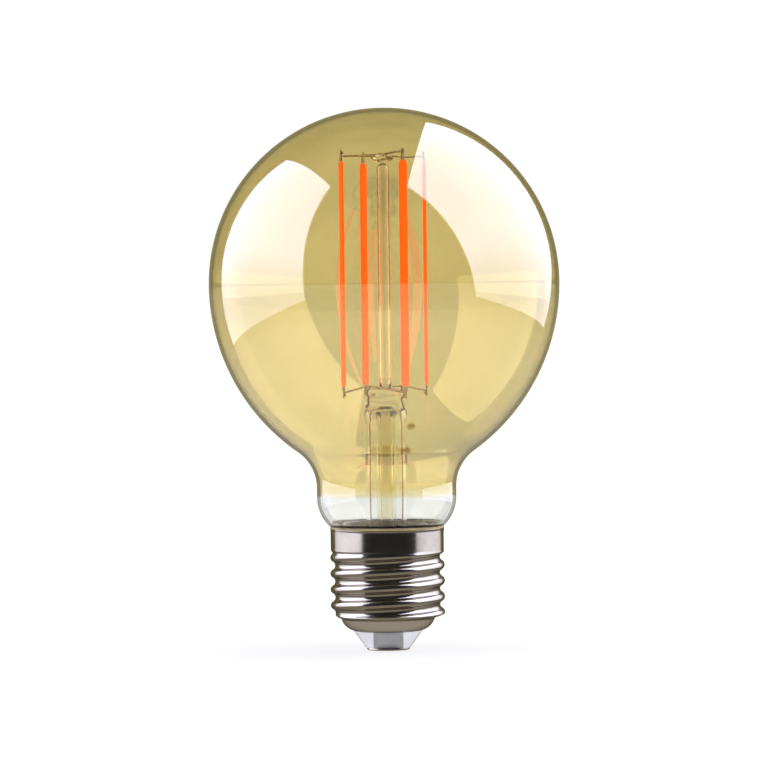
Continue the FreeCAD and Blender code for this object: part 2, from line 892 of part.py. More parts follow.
def make_cement(neutral_wire):
    """The cement between the neck tube and the skirt, with a thin bead on the rim."""
    tube = size("shoulder_foot_radius") - size("collar_radius")
    foot = size("shoulder_foot_height")
    collar = size("collar_radius")
    skirt = size("skirt_radius")
    inside = skirt - size("shell_wall") - size("cement_clearance")
    rim = size("shell_top")
    lip = size("shoulder_foot_radius") - skirt
    bead_top = foot - collar + size_root(collar * collar - lip * lip)
    corners = [
        (tube, size("cement_bottom")),
        (inside, size("cement_bottom")),
        (inside, rim),
        (skirt, rim),
        (skirt, bead_top),
        (tube, foot - collar),
    ]
    ring = turned_body("cement_ring", corners, {4: (collar, -1)})
    keep(less("cap_cement", ring, neutral_wire), "cap_cement")


def make_insulator():
    """The moulded cone between the shell and the end contact."""
    lip = size("shell_bottom")
    grip = size("bowl_centre_radius") + size("insulator_grip_margin")
    flange = size("insulator_flange_radius")
    contact = size("contact_thickness")
    eyelet = size("eyelet_radius")
    tip = size("insulator_tip_radius")
    groove = size("insulator_grip_groove")
    corners = [
        (eyelet, contact),
        (tip - size("insulator_tip_inset"), contact),
        (tip + size("insulator_tip_overhang"), contact + size("insulator_tip_rise")),
        (grip + size("insulator_lip_overhang"), lip - groove),
        (grip, lip),
        (grip - groove, lip + size("insulator_grip_height")),
        (flange, lip + size("insulator_flange_rise")),
        (flange, size("insulator_top")),
        (eyelet, size("insulator_top")),
    ]
    arcs = {1: (size("contact_thickness"), -1)}
    keep(turned_body("insulator", corners, arcs), "insulator")


def make_contact():
    """The end contact: a pressed disc with an eyelet up the insulator."""
    edge = size("contact_radius")
    thick = size("contact_thickness")
    round_off = size("contact_thickness") / 2
    corners = [
        (size("eyelet_bore"), 0),
        (edge - round_off, 0),
        (edge, round_off),
        (edge, thick),
        (size("eyelet_radius"), thick),
        (size("eyelet_radius"), size("eyelet_top")),
        (size("eyelet_bore"), size("eyelet_top")),
    ]
    keep(turned_body("end_contact", corners, {1: (round_off, -1)}), "end_contact")


# ---------------------------------------------------------------- driver in the cap

def make_live_wire():
    """The insulated wire from the end contact to the driver, and the solder that holds it."""
    foot = size("contact_thickness")
    top = size("board_bottom") + size("live_wire_overlap")
    wire = rod("live_wire_run", (0, 0, foot), size("live_wire_radius"), top - foot)
    keep(wire, "live_wire")
    plug = rod("solder_plug", (0, 0, 0), size("eyelet_bore"),
               size("eyelet_top") - size("eyelet_solder_gap"))
    keep(less("contact_solder", plug, wire), "contact_solder")


def make_neutral_wire():
    """The bare wire from the driver, up between glass and shell, to the rim."""
    radius = value("neutral_wire_radius")
    side = value("board_front") - radius
    neck = value("shoulder_foot_radius") - value("collar_radius")
    by_glass = neck + radius + value("neutral_glass_gap")
    by_shell = value("skirt_radius") - value("shell_wall") - radius - value("neutral_shell_gap")
    start = value("board_half_width") - value("neutral_start_inset")
    level = value("liner_top") + value("neutral_level_gap")
    climb = value("cement_bottom") - value("neutral_level_gap")
    points = [
        (start, side, level),
        (by_glass, side, level),
        (by_glass, side, climb),
        (by_shell, side, climb + value("neutral_climb")),
        (by_shell, side, value("shell_top") - value("neutral_end_gap")),
    ]
    wire = bent_wire(points, radius, value("neutral_wire_bend"))
    return keep(shaped("neutral_wire", wire), "neutral_wire")


def make_liner():
    """The plastic liner that keeps the driver off the shell."""
    outer = size("liner_radius")
    inner = outer - size("liner_wall")
    corners = [
        (inner, size("liner_bottom")),
        (outer, size("liner_bottom")),
        (outer, size("liner_top")),
        (inner, size("liner_top")),
    ]
    keep(turned_body("insulating_liner", corners), "insulating_liner")


def make_boards():
    """The driver board and the wireless module's board behind it, with the pins between."""
    half = size("board_half_width")
    front = size("board_front")
    thick = size("board_thickness")
    bottom = size("board_bottom")
    keep(block("driver_board_blank", (-half, front, bottom), (half * 2, thick, size("board_height"))),
         "driver_board")
    gap_start = front + thick
    module_front = gap_start + size("module_gap")
    wide = size("module_width")
    foot = bottom + size("module_rise")
    module = block("module_board_blank", (-wide / 2, module_front, foot),
                   (wide, size("module_thickness"), size("module_height")))
    keep(module, "wireless_module_board")
    pins = []
    side = value("pin_side")
    for index in range(int(value("pin_count"))):
        left = value("pin_first") + index * value("pin_step")
        corner = FreeCAD.Vector(left, gap_start.value, foot.value + value("pin_rise"))
        pins.append(Part.makeBox(side, value("module_gap"), side, corner))
    keep(shaped("module_pins", Part.makeCompound(pins)), "module_pins")


def make_shield():
    """The folded can over the radio chip, open towards its board."""
    back = size("board_front") + size("board_thickness") + size("module_gap") + size("module_thickness")
    sheet_thickness = size("shield_sheet")
    wide = size("shield_width")
    deep = size("shield_depth")
    tall = size("shield_height")
    left = -wide / 2 - size("shield_shift")
    foot = size("board_bottom") + size("shield_rise")
    can = block("shield_outside", (left, back, foot), (wide, deep, tall))
    room = block("shield_inside", (left + sheet_thickness, back, foot + sheet_thickness),
                 (wide - sheet_thickness * 2, deep - sheet_thickness, tall - sheet_thickness * 2))
    keep(less("wireless_shield_can", can, room), "wireless_shield_can")
    side = size("radio_side")
    radio = block("radio_chip_body", (left + size("radio_inset"), back, foot + size("radio_rise")),
                  (side, size("radio_depth"), side))
    keep(radio, "wireless_radio_chip")


def make_antenna():
    """The meander aerial along the top of the wireless board."""
    back = value("board_front") + value("board_thickness") + value("module_gap") + value("module_thickness")
    top = value("board_bottom") + value("module_rise") + value("module_height")
    foot = top - value("antenna_drop")
    track = value("antenna_track")
    film = value("antenna_film")
    step = value("antenna_step")
    tall = value("antenna_height")
    turns = int(value("antenna_turns"))
    left = -turns * step / 2
    bars = []
    for index in range(turns):
        start = FreeCAD.Vector(left + index * step, back, foot)
        bars.append(Part.makeBox(track, film, tall, start))
        level = foot + (tall - track if index % 2 == 0 else 0.0)
        if index < turns - 1:
            bars.append(Part.makeBox(step, film, track, FreeCAD.Vector(start.x, back, level)))
    shape = bars[0].fuse(bars[1:]).removeSplitter()
    keep(shaped("wireless_antenna", shape), "wireless_antenna")


def lead_pair(centre_x, centre_z):
    """Two short round pins from the board's face to a part that stands off it."""
    radius = value("component_lead_radius")
    stand_off = value("can_stand_off")
    spread = value("can_pin_spread")
    outward = FreeCAD.Vector(0, 1, 0)
    pins = []
    for side in (-1, 1):
        foot = FreeCAD.Vector(centre_x + side * spread, value("board_front") - stand_off, centre_z)
        pins.append(Part.makeCylinder(radius, stand_off, foot, outward))
    return pins


def can_spot(level):
    """The foot of a part that stands square to the board at a level."""
    return FreeCAD.Vector(value("can_centre"), value("board_front") - value("can_stand_off"), level)


def make_capacitor():
    """The electrolytic capacitor, with the groove that is rolled round its can."""
    outward = FreeCAD.Vector(0, -1, 0)
    radius = value("capacitor_radius")
    spot = can_spot(value("capacitor_level"))
    can = Part.makeCylinder(radius, value("capacitor_length"), spot, outward)
    groove = Part.makeTorus(radius + value("groove_centre_margin"), value("groove_radius"),
                            spot + outward * value("groove_height"), outward)
    shape = Part.makeCompound([can.cut(groove)] + lead_pair(spot.x, spot.z))
    keep(shaped("bulk_capacitor", shape), "bulk_capacitor")


def make_choke():
    """The drum choke: a ferrite core with two flanges, and its winding."""
    outward = FreeCAD.Vector(0, -1, 0)
    radius = value("inductor_radius")
    length = value("inductor_length")
    flange = value("inductor_flange")
    waist = radius - value("winding_depth")
    spot = can_spot(value("inductor_level"))
    core = Part.makeCylinder(waist, length, spot, outward)
    for start in (0.0, length - flange):
        core = core.fuse(Part.makeCylinder(radius, flange, spot + outward * start, outward))
    shape = Part.makeCompound([core.removeSplitter()] + lead_pair(spot.x, spot.z))
    keep(shaped("choke_core", shape), "choke_core")
    winding = Part.makeCylinder(radius - value("winding_inset"), length - flange * 2,
                                spot + outward * flange, outward)
    winding = winding.cut(Part.makeCylinder(waist, length, spot, outward))
    keep(shaped("choke_winding", winding), "choke_winding")


def make_fusible_resistor():
    """The flameproof resistor that feeds the board, with its two bent leads."""
    radius = value("resistor_radius")
    length = value("resistor_length")
    cap_length = value("resistor_cap_length")
    reach = value("resistor_lead_reach")
    front = value("board_front")
    axis_y = front - radius - value("resistor_gap")
    level = value("resistor_level")
    left = value("resistor_left")
    along = FreeCAD.Vector(1, 0, 0)
    barrel = Part.makeCylinder(value("resistor_waist"), length, FreeCAD.Vector(left, axis_y, level), along)
    for start in (0.0, length - cap_length):
        cap = Part.makeCylinder(radius, cap_length, FreeCAD.Vector(left + start, axis_y, level), along)
        barrel = barrel.fuse(cap)
    shape = barrel.removeSplitter()
    for end, out in ((left, -reach), (left + length, reach)):
        points = [(end, axis_y, level), (end + out, axis_y, level), (end + out, front, level)]
        lead = bent_wire(points, value("component_lead_radius"), value("resistor_lead_bend"))
        shape = shape.fuse(lead)
    keep(shaped("fusible_resistor", shape), "fusible_resistor")


def gull_wing_chip(label, stem):
    """A moulded chip against the board's front face, with flat legs on its left and right."""
    front = value("board_front")
    left, foot, wide, deep, tall, legs = [
        value(f"{stem}_{side}") for side in ("left", "foot", "width", "depth", "height", "legs")
    ]
    reach = value("leg_reach")
    thin = value("leg_thickness")
    leg_width = value("leg_width")
    body_corner = FreeCAD.Vector(left, front - deep, foot)
    solids = [Part.makeBox(wide, deep - value("chip_stand_off"), tall, body_corner)]
    leg_step = tall / legs
    for index in range(int(legs)):
        level = foot + leg_step * (index + 0.5) - leg_width / 2
        for edge in (left - reach, left + wide):
            solids.append(Part.makeBox(reach, thin, leg_width, FreeCAD.Vector(edge, front - thin, level)))
    keep(shaped(label, Part.makeCompound(solids)), label)


def make_small_parts():
    """The chip resistors and capacitors, a group of separate blocks on the board's front."""
    long, deep, tall = [value(f"block_{side}") for side in ("length", "depth", "height")]
    back = value("board_front") - deep
    blocks = [Part.makeBox(long, deep, tall, FreeCAD.Vector(x, back, z)) for x, z in BLOCK_SPOTS]
    keep(shaped("chip_components", Part.makeCompound(blocks)), "chip_components")


def make_rim_solder():
    """The solder that joins the neutral wire to the shell's rim."""
    skirt = value("skirt_radius")
    rim = value("shell_top")
    side = value("board_front") - value("neutral_wire_radius")
    radius = value("rim_solder_radius")
    sink = value("rim_solder_sink")
    drop = Part.makeSphere(radius, FreeCAD.Vector(skirt - sink, side, rim - sink))
    limit = Part.makeCylinder(skirt + value("rim_solder_stand"), radius * 4,
                              FreeCAD.Vector(0, 0, rim - radius * 2))
    drop = drop.common(limit)
    doc.recompute()
    for label in ("glass_envelope", "screw_shell", "cap_cement", "neutral_wire"):
        drop = drop.cut(piece(label).Shape)
    largest = max(drop.Solids, key=lambda solid: solid.Volume)
    keep(shaped("rim_solder", largest), "rim_solder")


def piece(label):
    """A finished sub-part by its label."""
    return next(obj for obj in parts if obj.Label == label)


# ---------------------------------------------------------------- assembly and output

def make_mount():
    """Everything that the post and the leads carry."""
    tabs = [make_filament(number) for number in range(4)]
    lift = size("support_radius") * 2 + size("wire_gap")
    wires = [
        support_wire("top_support_outer", size("outer_wire_height"), 0, tabs),
        support_wire("top_support_inner", size("outer_wire_height") + lift, 1, tabs),
    ]
    make_bead(wires)
    left = -value("lead_offset")
    arms = [
        arm_run("bottom_arm_left", left, (2, 3), tabs),
        arm_run("bottom_arm_right", -left, (0, 1), tabs),
    ]
    make_leads(arms)


def make_driver():
    """The driver and the wireless module that hide in the cap."""
    make_liner()
    make_boards()
    make_shield()
    make_antenna()
    make_capacitor()
    make_choke()
    make_fusible_resistor()
    gull_wing_chip("driver_chip", "driver_chip")
    gull_wing_chip("bridge_rectifier", "bridge")
    make_small_parts()


def check_all():
    """Stop if any object failed or any sub-part has no sound solid."""
    doc.recompute()
    for obj in doc.Objects:
        if "Invalid" in obj.State or "Error" in obj.State:
            raise RuntimeError(f"{obj.Label} failed: {obj.State}")
    for obj in parts:
        shape = obj.Shape
        if shape.isNull() or not shape.isValid() or shape.Volume <= 0:
            raise RuntimeError(f"{obj.Label} has no sound shape")
        print(f"{obj.Label:28s} solids {len(shape.Solids):3d}  volume {shape.Volume:10.3f} mm3")


def write_all():
    """Write each sub-part to its own file."""
    os.makedirs("parts", exist_ok=True)
    for obj in parts:
        obj.Shape.exportStep(f"parts/{obj.Label}.step")
    print(f"{len(parts)} sub-parts written")


fill_sheet()
make_envelope()
make_flare_tube()
make_pinch()
make_exhaust_tube()
make_post()
make_mount()
make_screw_shell()
make_cement(make_neutral_wire())
make_insulator()
make_contact()
make_live_wire()
make_rim_solder()
make_driver()
check_all()
write_all()
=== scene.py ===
import json
import math

import bmesh
import bpy
from mathutils import Matrix, Vector, noise


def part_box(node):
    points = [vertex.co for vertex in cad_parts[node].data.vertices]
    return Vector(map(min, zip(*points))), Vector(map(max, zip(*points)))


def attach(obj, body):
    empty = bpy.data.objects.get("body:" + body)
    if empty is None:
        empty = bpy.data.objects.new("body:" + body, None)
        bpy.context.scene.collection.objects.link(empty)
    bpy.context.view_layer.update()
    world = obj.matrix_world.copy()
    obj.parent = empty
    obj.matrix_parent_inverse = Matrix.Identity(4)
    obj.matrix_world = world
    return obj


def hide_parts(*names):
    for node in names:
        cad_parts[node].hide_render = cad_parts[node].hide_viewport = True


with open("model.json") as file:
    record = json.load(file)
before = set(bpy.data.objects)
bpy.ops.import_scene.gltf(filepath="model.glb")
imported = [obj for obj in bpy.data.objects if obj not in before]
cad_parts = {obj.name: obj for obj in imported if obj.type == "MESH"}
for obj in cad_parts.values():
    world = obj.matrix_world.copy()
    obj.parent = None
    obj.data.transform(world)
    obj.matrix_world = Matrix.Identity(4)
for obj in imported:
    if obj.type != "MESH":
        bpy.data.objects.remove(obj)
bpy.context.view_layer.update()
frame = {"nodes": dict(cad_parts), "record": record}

# A globe lamp with an amber coat, four LED filaments and a screw cap.
# Metres, in the frame's own axes: the end contact stands on z = 0 and +Z runs up the lamp.

MM = 0.001
BODY = "root"
nodes = frame["nodes"]


def box_of(name):
    """Lowest and highest corner of a CAD node, as vectors."""
    low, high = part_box(name)
    return Vector(low), Vector(high)


# ---------------------------------------------------------------- sizes taken from the frame

globe_low, globe_high = box_of("glass_envelope")
shell_low, shell_high = box_of("screw_shell")
cement_low = box_of("cap_cement")[0]
pinch_low, pinch_high = box_of("pinch_press")
stem_low, stem_high = box_of("flare_tube")
post_low, post_high = box_of("centre_post")
exhaust_low, exhaust_high = box_of("exhaust_tube")
bead_low, bead_high = box_of("post_bead")

GLOBE_RADIUS = (globe_high.x - globe_low.x) / 2
EQUATOR = globe_high.z - GLOBE_RADIUS
WALL = 0.8 * MM
LOWER_RADIUS = GLOBE_RADIUS + 7 * MM
NECK_RADIUS = 15.95 * MM
NECK_FLARE = 10 * MM
SHOULDER = 35 * MM
FOOT_RADIUS = 13.1 * MM
FOOT = 28.3 * MM
COLLAR = 2 * MM
COAT_END = 35.4 * MM

STEM_RADIUS = (pinch_high.x - pinch_low.x) / 2
STEM_WALL = 0.75 * MM
STEM_SIDES = 72
STEM_CEILING = 54.5 * MM
FLARE_START = 27.2 * MM
PRESS_START = pinch_low.z - 1.2 * MM
PRESS_RUN = 3.6 * MM
PRESS_HALF_THICK = 1.75 * MM
PRESS_ROUNDING = 1.0 * MM
EXHAUST_BORE = 1.2 * MM
POST_BORE = 0.95 * MM

RING = 10.5 * MM
RING_ANGLE = 25.6
FILAMENT_TWISTS = (-18.0, 25.0, -6.0, 9.0)
FILAMENTS = 4
CHIPS = 28
BAR_HALF_THICK = 0.36 * MM
BAR_HALF_WIDE = 1.08 * MM
BAR_END = 1.7 * MM
LEAD_OFFSET = 3.72 * MM
WIRE = 0.22 * MM
FLAT_HALF_WIDTH = 3.4 * MM
CLOSED = 1e-9


# ---------------------------------------------------------------- mesh making

MERGE_DISTANCE = 1e-7
SHORTEST_EDGE = 1e-8
END_SHRINK = 0.55
END_REACH = 0.4


class Form:
    """Vertices and faces gathered ring by ring, then made into one object."""

    def __init__(self):
        self.vertices = []
        self.faces = []

    def loft(self, rings, caps=True, wrap=False):
        """Skin a row of rings that all have the same number of points."""
        base = len(self.vertices)
        count = len(rings[0])
        for ring in rings:
            self.vertices.extend(ring)
        spans = len(rings) if wrap else len(rings) - 1
        for row in range(spans):
            here = base + row * count
            there = base + (row + 1) % len(rings) * count
            for column in range(count):
                following = (column + 1) % count
                self.faces.append((here + column, here + following, there + following, there + column))
        if caps and not wrap:
            self.faces.append(tuple(base + column for column in reversed(range(count))))
            last = base + (len(rings) - 1) * count
            self.faces.append(tuple(last + column for column in range(count)))
        return self

    def make(self, name, material, slot, *replaced, sharp=None):
        """The finished piece: normals outward, smooth, riding on the lamp's one body."""
        mesh = bpy.data.meshes.new(name)
        mesh.from_pydata([tuple(v) for v in self.vertices], [], self.faces)
        work = bmesh.new()
        work.from_mesh(mesh)
        bmesh.ops.remove_doubles(work, verts=work.verts, dist=MERGE_DISTANCE)
        bmesh.ops.dissolve_degenerate(work, edges=work.edges, dist=SHORTEST_EDGE)
        bmesh.ops.recalc_face_normals(work, faces=work.faces)
        for face in work.faces:
            face.smooth = True
        if sharp is not None:
            for edge in work.edges:
                if len(edge.link_faces) == 2 and edge.calc_face_angle(0.0) > math.radians(sharp):
                    edge.smooth = False
        work.to_mesh(mesh)
        work.free()
        mesh.materials.append(material)
        piece = bpy.data.objects.new(name, mesh)
        bpy.context.scene.collection.objects.link(piece)
        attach(piece, BODY)
        if replaced:
            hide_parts(*replaced)
        return piece


def circle(radius, height, count):
    """A level ring of points round the lamp's axis."""
    return [Vector((radius * math.cos(turn), radius * math.sin(turn), height))
            for turn in (2 * math.pi * index / count for index in range(count))]


def squared_ring(half_x, half_y, power, sides):
    """Points round an ellipse at power 2, and round an ever squarer outline as the power rises."""
    points = []
    for index in range(sides):
        turn = 2 * math.pi * index / sides
        cosine = math.cos(turn)
        sine = math.sin(turn)
        points.append((half_x * math.copysign(abs(cosine) ** (2 / power), cosine),
                       half_y * math.copysign(abs(sine) ** (2 / power), sine)))
    return points


def soft_step(low, high, spot):
    """A soft step from 0 to 1."""
    share = min(max((spot - low) / (high - low), 0.0), 1.0)
    return share * share * (3 - 2 * share)


def arc(centre, radius, start, end, steps):
    """Points of a half section along an arc, from one angle in degrees to another."""
    points = []
    for index in range(steps + 1):
        angle = math.radians(start + (end - start) * index / steps)
        points.append((centre[0] + radius * math.cos(angle), centre[1] + radius * math.sin(angle)))
    return points


def line(start, end, steps):
    """Points of a half section along a straight stretch, without its two ends."""
    return [(start[0] + (end[0] - start[0]) * index / steps, start[1] + (end[1] - start[1]) * index / steps)
            for index in range(1, steps)]


def turned(section, segments=160):
    """A form turned from a closed half section, with one side on the axis or not."""
    rings = [circle(max(radius, 0.0), height, segments) for radius, height in section]
    on_axis = section[0][0] < CLOSED and section[-1][0] < CLOSED
    return Form().loft(rings, caps=False, wrap=not on_axis)


def smooth_path(points, steps=8):
    """A Catmull-Rom line through the points."""
    spots = [Vector(point) for point in points]
    spots = [spots[0] * 2 - spots[1]] + spots + [spots[-1] * 2 - spots[-2]]
    path = []
    for index in range(1, len(spots) - 2):
        before, start, end, after = spots[index - 1:index + 3]
        for step in range(steps):
            share = step / steps
            path.append(0.5 * (start * 2 + (end - before) * share
                               + (before * 2 - start * 5 + end * 4 - after) * share ** 2
                               + (start * 3 - before - end * 3 + after) * share ** 3))
    path.append(spots[-2])
    return path


def tube_rings(path, radius, sides=16):
    """Rings along a path, with rounded ends and no twist."""
    rings = []
    normal = (path[1] - path[0]).orthogonal().normalized()
    length = len(path)
    for index, spot in enumerate(path):
        ahead = path[min(index + 1, length - 1)] - path[max(index - 1, 0)]
        ahead.normalize()
        normal = (normal - ahead * normal.dot(ahead)).normalized()
        side = ahead.cross(normal)
        rings.append([spot + normal * (radius * math.cos(turn)) + side * (radius * math.sin(turn))
                      for turn in (2 * math.pi * k / sides for k in range(sides))])
    for end, inward in ((0, 1), (-1, -1)):
        middle = sum(rings[end], Vector()) / sides
        away = (path[end] - path[end + inward]).normalized() * radius * END_REACH
        cap = [middle + (point - middle) * END_SHRINK + away for point in rings[end]]
        if end == 0:
            rings.insert(0, cap)
        else:
            rings.append(cap)
    return rings


def blob_rings(centre, sizes, rows=10, sides=18, wobble=0.08, seed=0.0):
    """Rings of a small lump, such as a weld, slightly out of round."""
    rings = []
    for row in range(rows + 1):
        lean = -math.pi / 2 + math.pi * row / rows
        ring = []
        for k in range(sides):
            turn = 2 * math.pi * k / sides
            way = Vector((math.cos(lean) * math.cos(turn), math.cos(lean) * math.sin(turn), math.sin(lean)))
            swell = 1 + wobble * noise.noise(way * 1.7 + Vector((seed, seed, seed)))
            reach = Vector((way.x * sizes[0], way.y * sizes[1], way.z * sizes[2]))
            ring.append(Vector(centre) + reach * swell)
        rings.append(ring)
    return rings


# ---------------------------------------------------------------- materials

GLASS_IOR = 1.5
BARE_GLASS = (0.85, 0.86, 0.83)
AMBER_LIGHT = (0.865, 0.772, 0.465)
AMBER_DARK = (0.825, 0.735, 0.43)
AMBER_RIM = (0.80, 0.70, 0.38)
LACQUER_IOR = 2.0
LACQUER_ROUGHNESS = 0.01
SPECK_BROWN = (0.42, 0.27, 0.04)
SPECKS = (((5.6 * MM, -26.8 * MM, 51.8 * MM), 1.2 * MM), ((4.3 * MM, -20.8 * MM, 46.1 * MM), 1.6 * MM))

PHOSPHOR_LIGHT = (1.0, 0.125, 0.001)
PHOSPHOR_DARK = (0.96, 0.105, 0.001)
# Painted glow: the strength of the orange emission on the filament coat.
PHOSPHOR_PAINTED_GLOW = 1.25
SILICONE_IOR = 1.42

NICKEL_LIGHT = (0.59, 0.555, 0.46)
NICKEL_DARK = (0.53, 0.495, 0.41)
NICKEL_EDGE = (0.35, 0.34, 0.31, 1.0)
# A painted reflection: a much lighter nickel colour for the bowl below the thread and the end contact.
NICKEL_PAINTED_BOWL_REFLECTION = (0.92, 0.87, 0.78)
PAINTED_BOWL_REFLECTION_FADE = (7.4 * MM, 8.6 * MM)

GLAZE_PALE = ((0.86, 0.87, 0.89), (0.78, 0.79, 0.81))
# The flats' grey is a painted dark reflection; the pale colour is the glaze's own.
GLAZE_PAINTED_DARK_REFLECTION = ((0.34, 0.34, 0.36), (0.29, 0.29, 0.31))
PAINTED_REFLECTION_EDGE = 0.1 * MM
GLAZE_IOR = 1.7
GLAZE_ROUGHNESS = 0.03

TRACK_SCALE = 260.0
PAD_SCALE = 420.0


def link(tree, source, target):
    """One wire between two sockets."""
    tree.links.new(source, target)


def new_material(name, **sockets):
    """A material with one Principled shader, whose even values are set on its own sockets."""
    material = bpy.data.materials.new(name)
    material.use_nodes = True
    tree = material.node_tree
    shader = tree.nodes["Principled BSDF"]
    for socket, amount in sockets.items():
        shader.inputs[socket.replace("_", " ")].default_value = amount
    return material, tree, shader


def add(tree, kind, **settings):
    """A new node with its properties set."""
    made = tree.nodes.new(kind)
    for name, setting in settings.items():
        setattr(made, name, setting)
    return made


def place(tree):
    """The piece's own coordinates, which are the lamp's frame in metres."""
    return add(tree, "ShaderNodeTexCoord").outputs["Object"]


def noise_at(tree, scale, detail=4.0, stretch=None, roughness=0.55):
    """Noise through the piece, with a scale in features per metre, stretched along Z if asked."""
    source = place(tree)
    if stretch is not None:
        mapping = add(tree, "ShaderNodeMapping")
        mapping.inputs["Scale"].default_value = stretch
        link(tree, source, mapping.inputs["Vector"])
        source = mapping.outputs["Vector"]
    texture = add(tree, "ShaderNodeTexNoise")
    texture.inputs["Scale"].default_value = scale
    texture.inputs["Detail"].default_value = detail
    texture.inputs["Roughness"].default_value = roughness
    link(tree, source, texture.inputs["Vector"])
    return texture.outputs["Fac"]


def ramp(tree, source, low, high, start=0.3, end=0.7):
    """Map a factor to a range of numbers."""
    mapped = add(tree, "ShaderNodeMapRange")
    mapped.interpolation_type = "SMOOTHSTEP"
    for socket, amount in (("From Min", start), ("From Max", end), ("To Min", low), ("To Max", high)):
        mapped.inputs[socket].default_value = amount
    link(tree, source, mapped.inputs["Value"])
    return mapped.outputs["Result"]


def blend_colours(tree, factor, first, second):
    """Mix two colours, each a tuple or a socket."""
    mixed = add(tree, "ShaderNodeMix", data_type="RGBA")
    link(tree, factor, mixed.inputs["Factor"])
    for socket, colour in (("A", first), ("B", second)):
        target = [s for s in mixed.inputs if s.name == socket and s.type == "RGBA"][0]
        if isinstance(colour, tuple):
            target.default_value = (*colour, 1.0)
        else:
            link(tree, colour, target)
    return [s for s in mixed.outputs if s.type == "RGBA"][0]


def bump(tree, shader, height, strength, distance):
    """Relief from a height factor."""
    relief = add(tree, "ShaderNodeBump")
    relief.inputs["Strength"].default_value = strength
    relief.inputs["Distance"].default_value = distance
    link(tree, height, relief.inputs["Height"])
    link(tree, relief.outputs["Normal"], shader.inputs["Normal"])
    return relief


def finish(name, light, dark, rough, grain=900.0, relief=0.02, metal=0.0, stretch=None, **sockets):
    """A general finish: two close colours, uneven gloss and a fine relief."""
    material, tree, shader = new_material(name, Metallic=metal, **sockets)
    cloud = noise_at(tree, grain * 0.25, stretch=stretch)
    fine = noise_at(tree, grain, stretch=stretch)
    link(tree, blend_colours(tree, ramp(tree, cloud, 0.0, 1.0), light, dark), shader.inputs["Base Color"])
    link(tree, ramp(tree, fine, rough[0], rough[1]), shader.inputs["Roughness"])
    bump(tree, shader, fine, relief, 0.05 * MM)
    return material


def height_of(tree):
    """The height in the frame as a factor source."""
    split = add(tree, "ShaderNodeSeparateXYZ")
    link(tree, place(tree), split.inputs["Vector"])
    return split.outputs["Z"]


def near(tree, spot, radius):
    """1 near a spot in the frame, falling to 0 at its radius."""
    away = add(tree, "ShaderNodeVectorMath", operation="DISTANCE")
    away.inputs[1].default_value = spot
    link(tree, place(tree), away.inputs[0])
    return ramp(tree, away.outputs["Value"], 1.0, 0.0, radius * 0.55, radius)


def new_glass(name, **sockets):
    """A smooth glass material, with any further even values set on its sockets."""
    return new_material(name, Roughness=0.0, IOR=GLASS_IOR, Transmission_Weight=1.0, **sockets)


def make_amber_glass():
    """Clear glass with a gold-amber lacquer that stops just above the shoulder."""
    lacquer = {"Coat_Roughness": LACQUER_ROUGHNESS, "Coat_IOR": LACQUER_IOR}
    material, tree, shader = new_glass("amber_glass", **lacquer)
    cloud = noise_at(tree, 45.0, detail=2.0)
    amber = blend_colours(tree, ramp(tree, cloud, 0.0, 1.0), AMBER_LIGHT, AMBER_DARK)
    weight = add(tree, "ShaderNodeLayerWeight")
    weight.inputs["Blend"].default_value = 0.35
    rim = ramp(tree, weight.outputs["Facing"], 0.0, 1.0, 0.35, 0.95)
    amber = blend_colours(tree, rim, amber, AMBER_RIM)
    for spot, radius in SPECKS:
        amber = blend_colours(tree, near(tree, spot, radius), amber, SPECK_BROWN)
    edge = ramp(tree, height_of(tree), 0.0, 1.0, COAT_END - 0.5 * MM, COAT_END + 0.7 * MM)
    link(tree, blend_colours(tree, edge, BARE_GLASS, amber), shader.inputs["Base Color"])
    link(tree, ramp(tree, edge, 0.05, 0.8, 0.0, 1.0), shader.inputs["Coat Weight"])
    return material


def make_clear_glass(name, light, dark):
    """Stem glass with a faint, cloudy tint."""
    material, tree, shader = new_glass(name)
    tint = noise_at(tree, 120.0, detail=2.0)
    colour = blend_colours(tree, ramp(tree, tint, 0.0, 1.0), light, dark)
    link(tree, colour, shader.inputs["Base Color"])
    return material


def make_phosphor_with_painted_glow():
    """Orange phosphor in silicone, with a painted glow: an orange emission of its own keeps the coat bright.
    """
    material, tree, shader = new_material("phosphor", Roughness=0.45, IOR=SILICONE_IOR,
                                          Emission_Strength=PHOSPHOR_PAINTED_GLOW)
    cloud = noise_at(tree, 1400.0, detail=3.0)
    colour = blend_colours(tree, ramp(tree, cloud, 0.0, 1.0), PHOSPHOR_LIGHT, PHOSPHOR_DARK)
    link(tree, colour, shader.inputs["Base Color"])
    # Painted glow: the coat's colour is also its emission.
    link(tree, colour, shader.inputs["Emission Color"])
    bump(tree, shader, noise_at(tree, 5000.0), 0.15, 0.05 * MM)
    return material


def make_nickel_and_painted_reflection():
    """Warm nickel plate with fine rolling lines; the much lighter colour on the bowl under the thread is a
    painted reflection.
    """
    material, tree, shader = new_material("nickel_plate_and_painted_reflection", Metallic=1.0, Specular_Tint=NICKEL_EDGE)
    cloud = noise_at(tree, 260.0, detail=5.0)
    colour = blend_colours(tree, ramp(tree, cloud, 0.0, 1.0), NICKEL_LIGHT, NICKEL_DARK)
    # Painted reflection: the bowl below the thread gets a much lighter colour.
    bowl = ramp(tree, height_of(tree), 1.0, 0.0, *PAINTED_BOWL_REFLECTION_FADE)
    link(tree, blend_colours(tree, bowl, colour, NICKEL_PAINTED_BOWL_REFLECTION), shader.inputs["Base Color"])
    lines = noise_at(tree, 500.0, detail=3.0, stretch=(0.6, 0.6, 9.0))
    link(tree, ramp(tree, lines, 0.16, 0.20), shader.inputs["Roughness"])
    bump(tree, shader, lines, 0.04, 0.04 * MM)
    return material


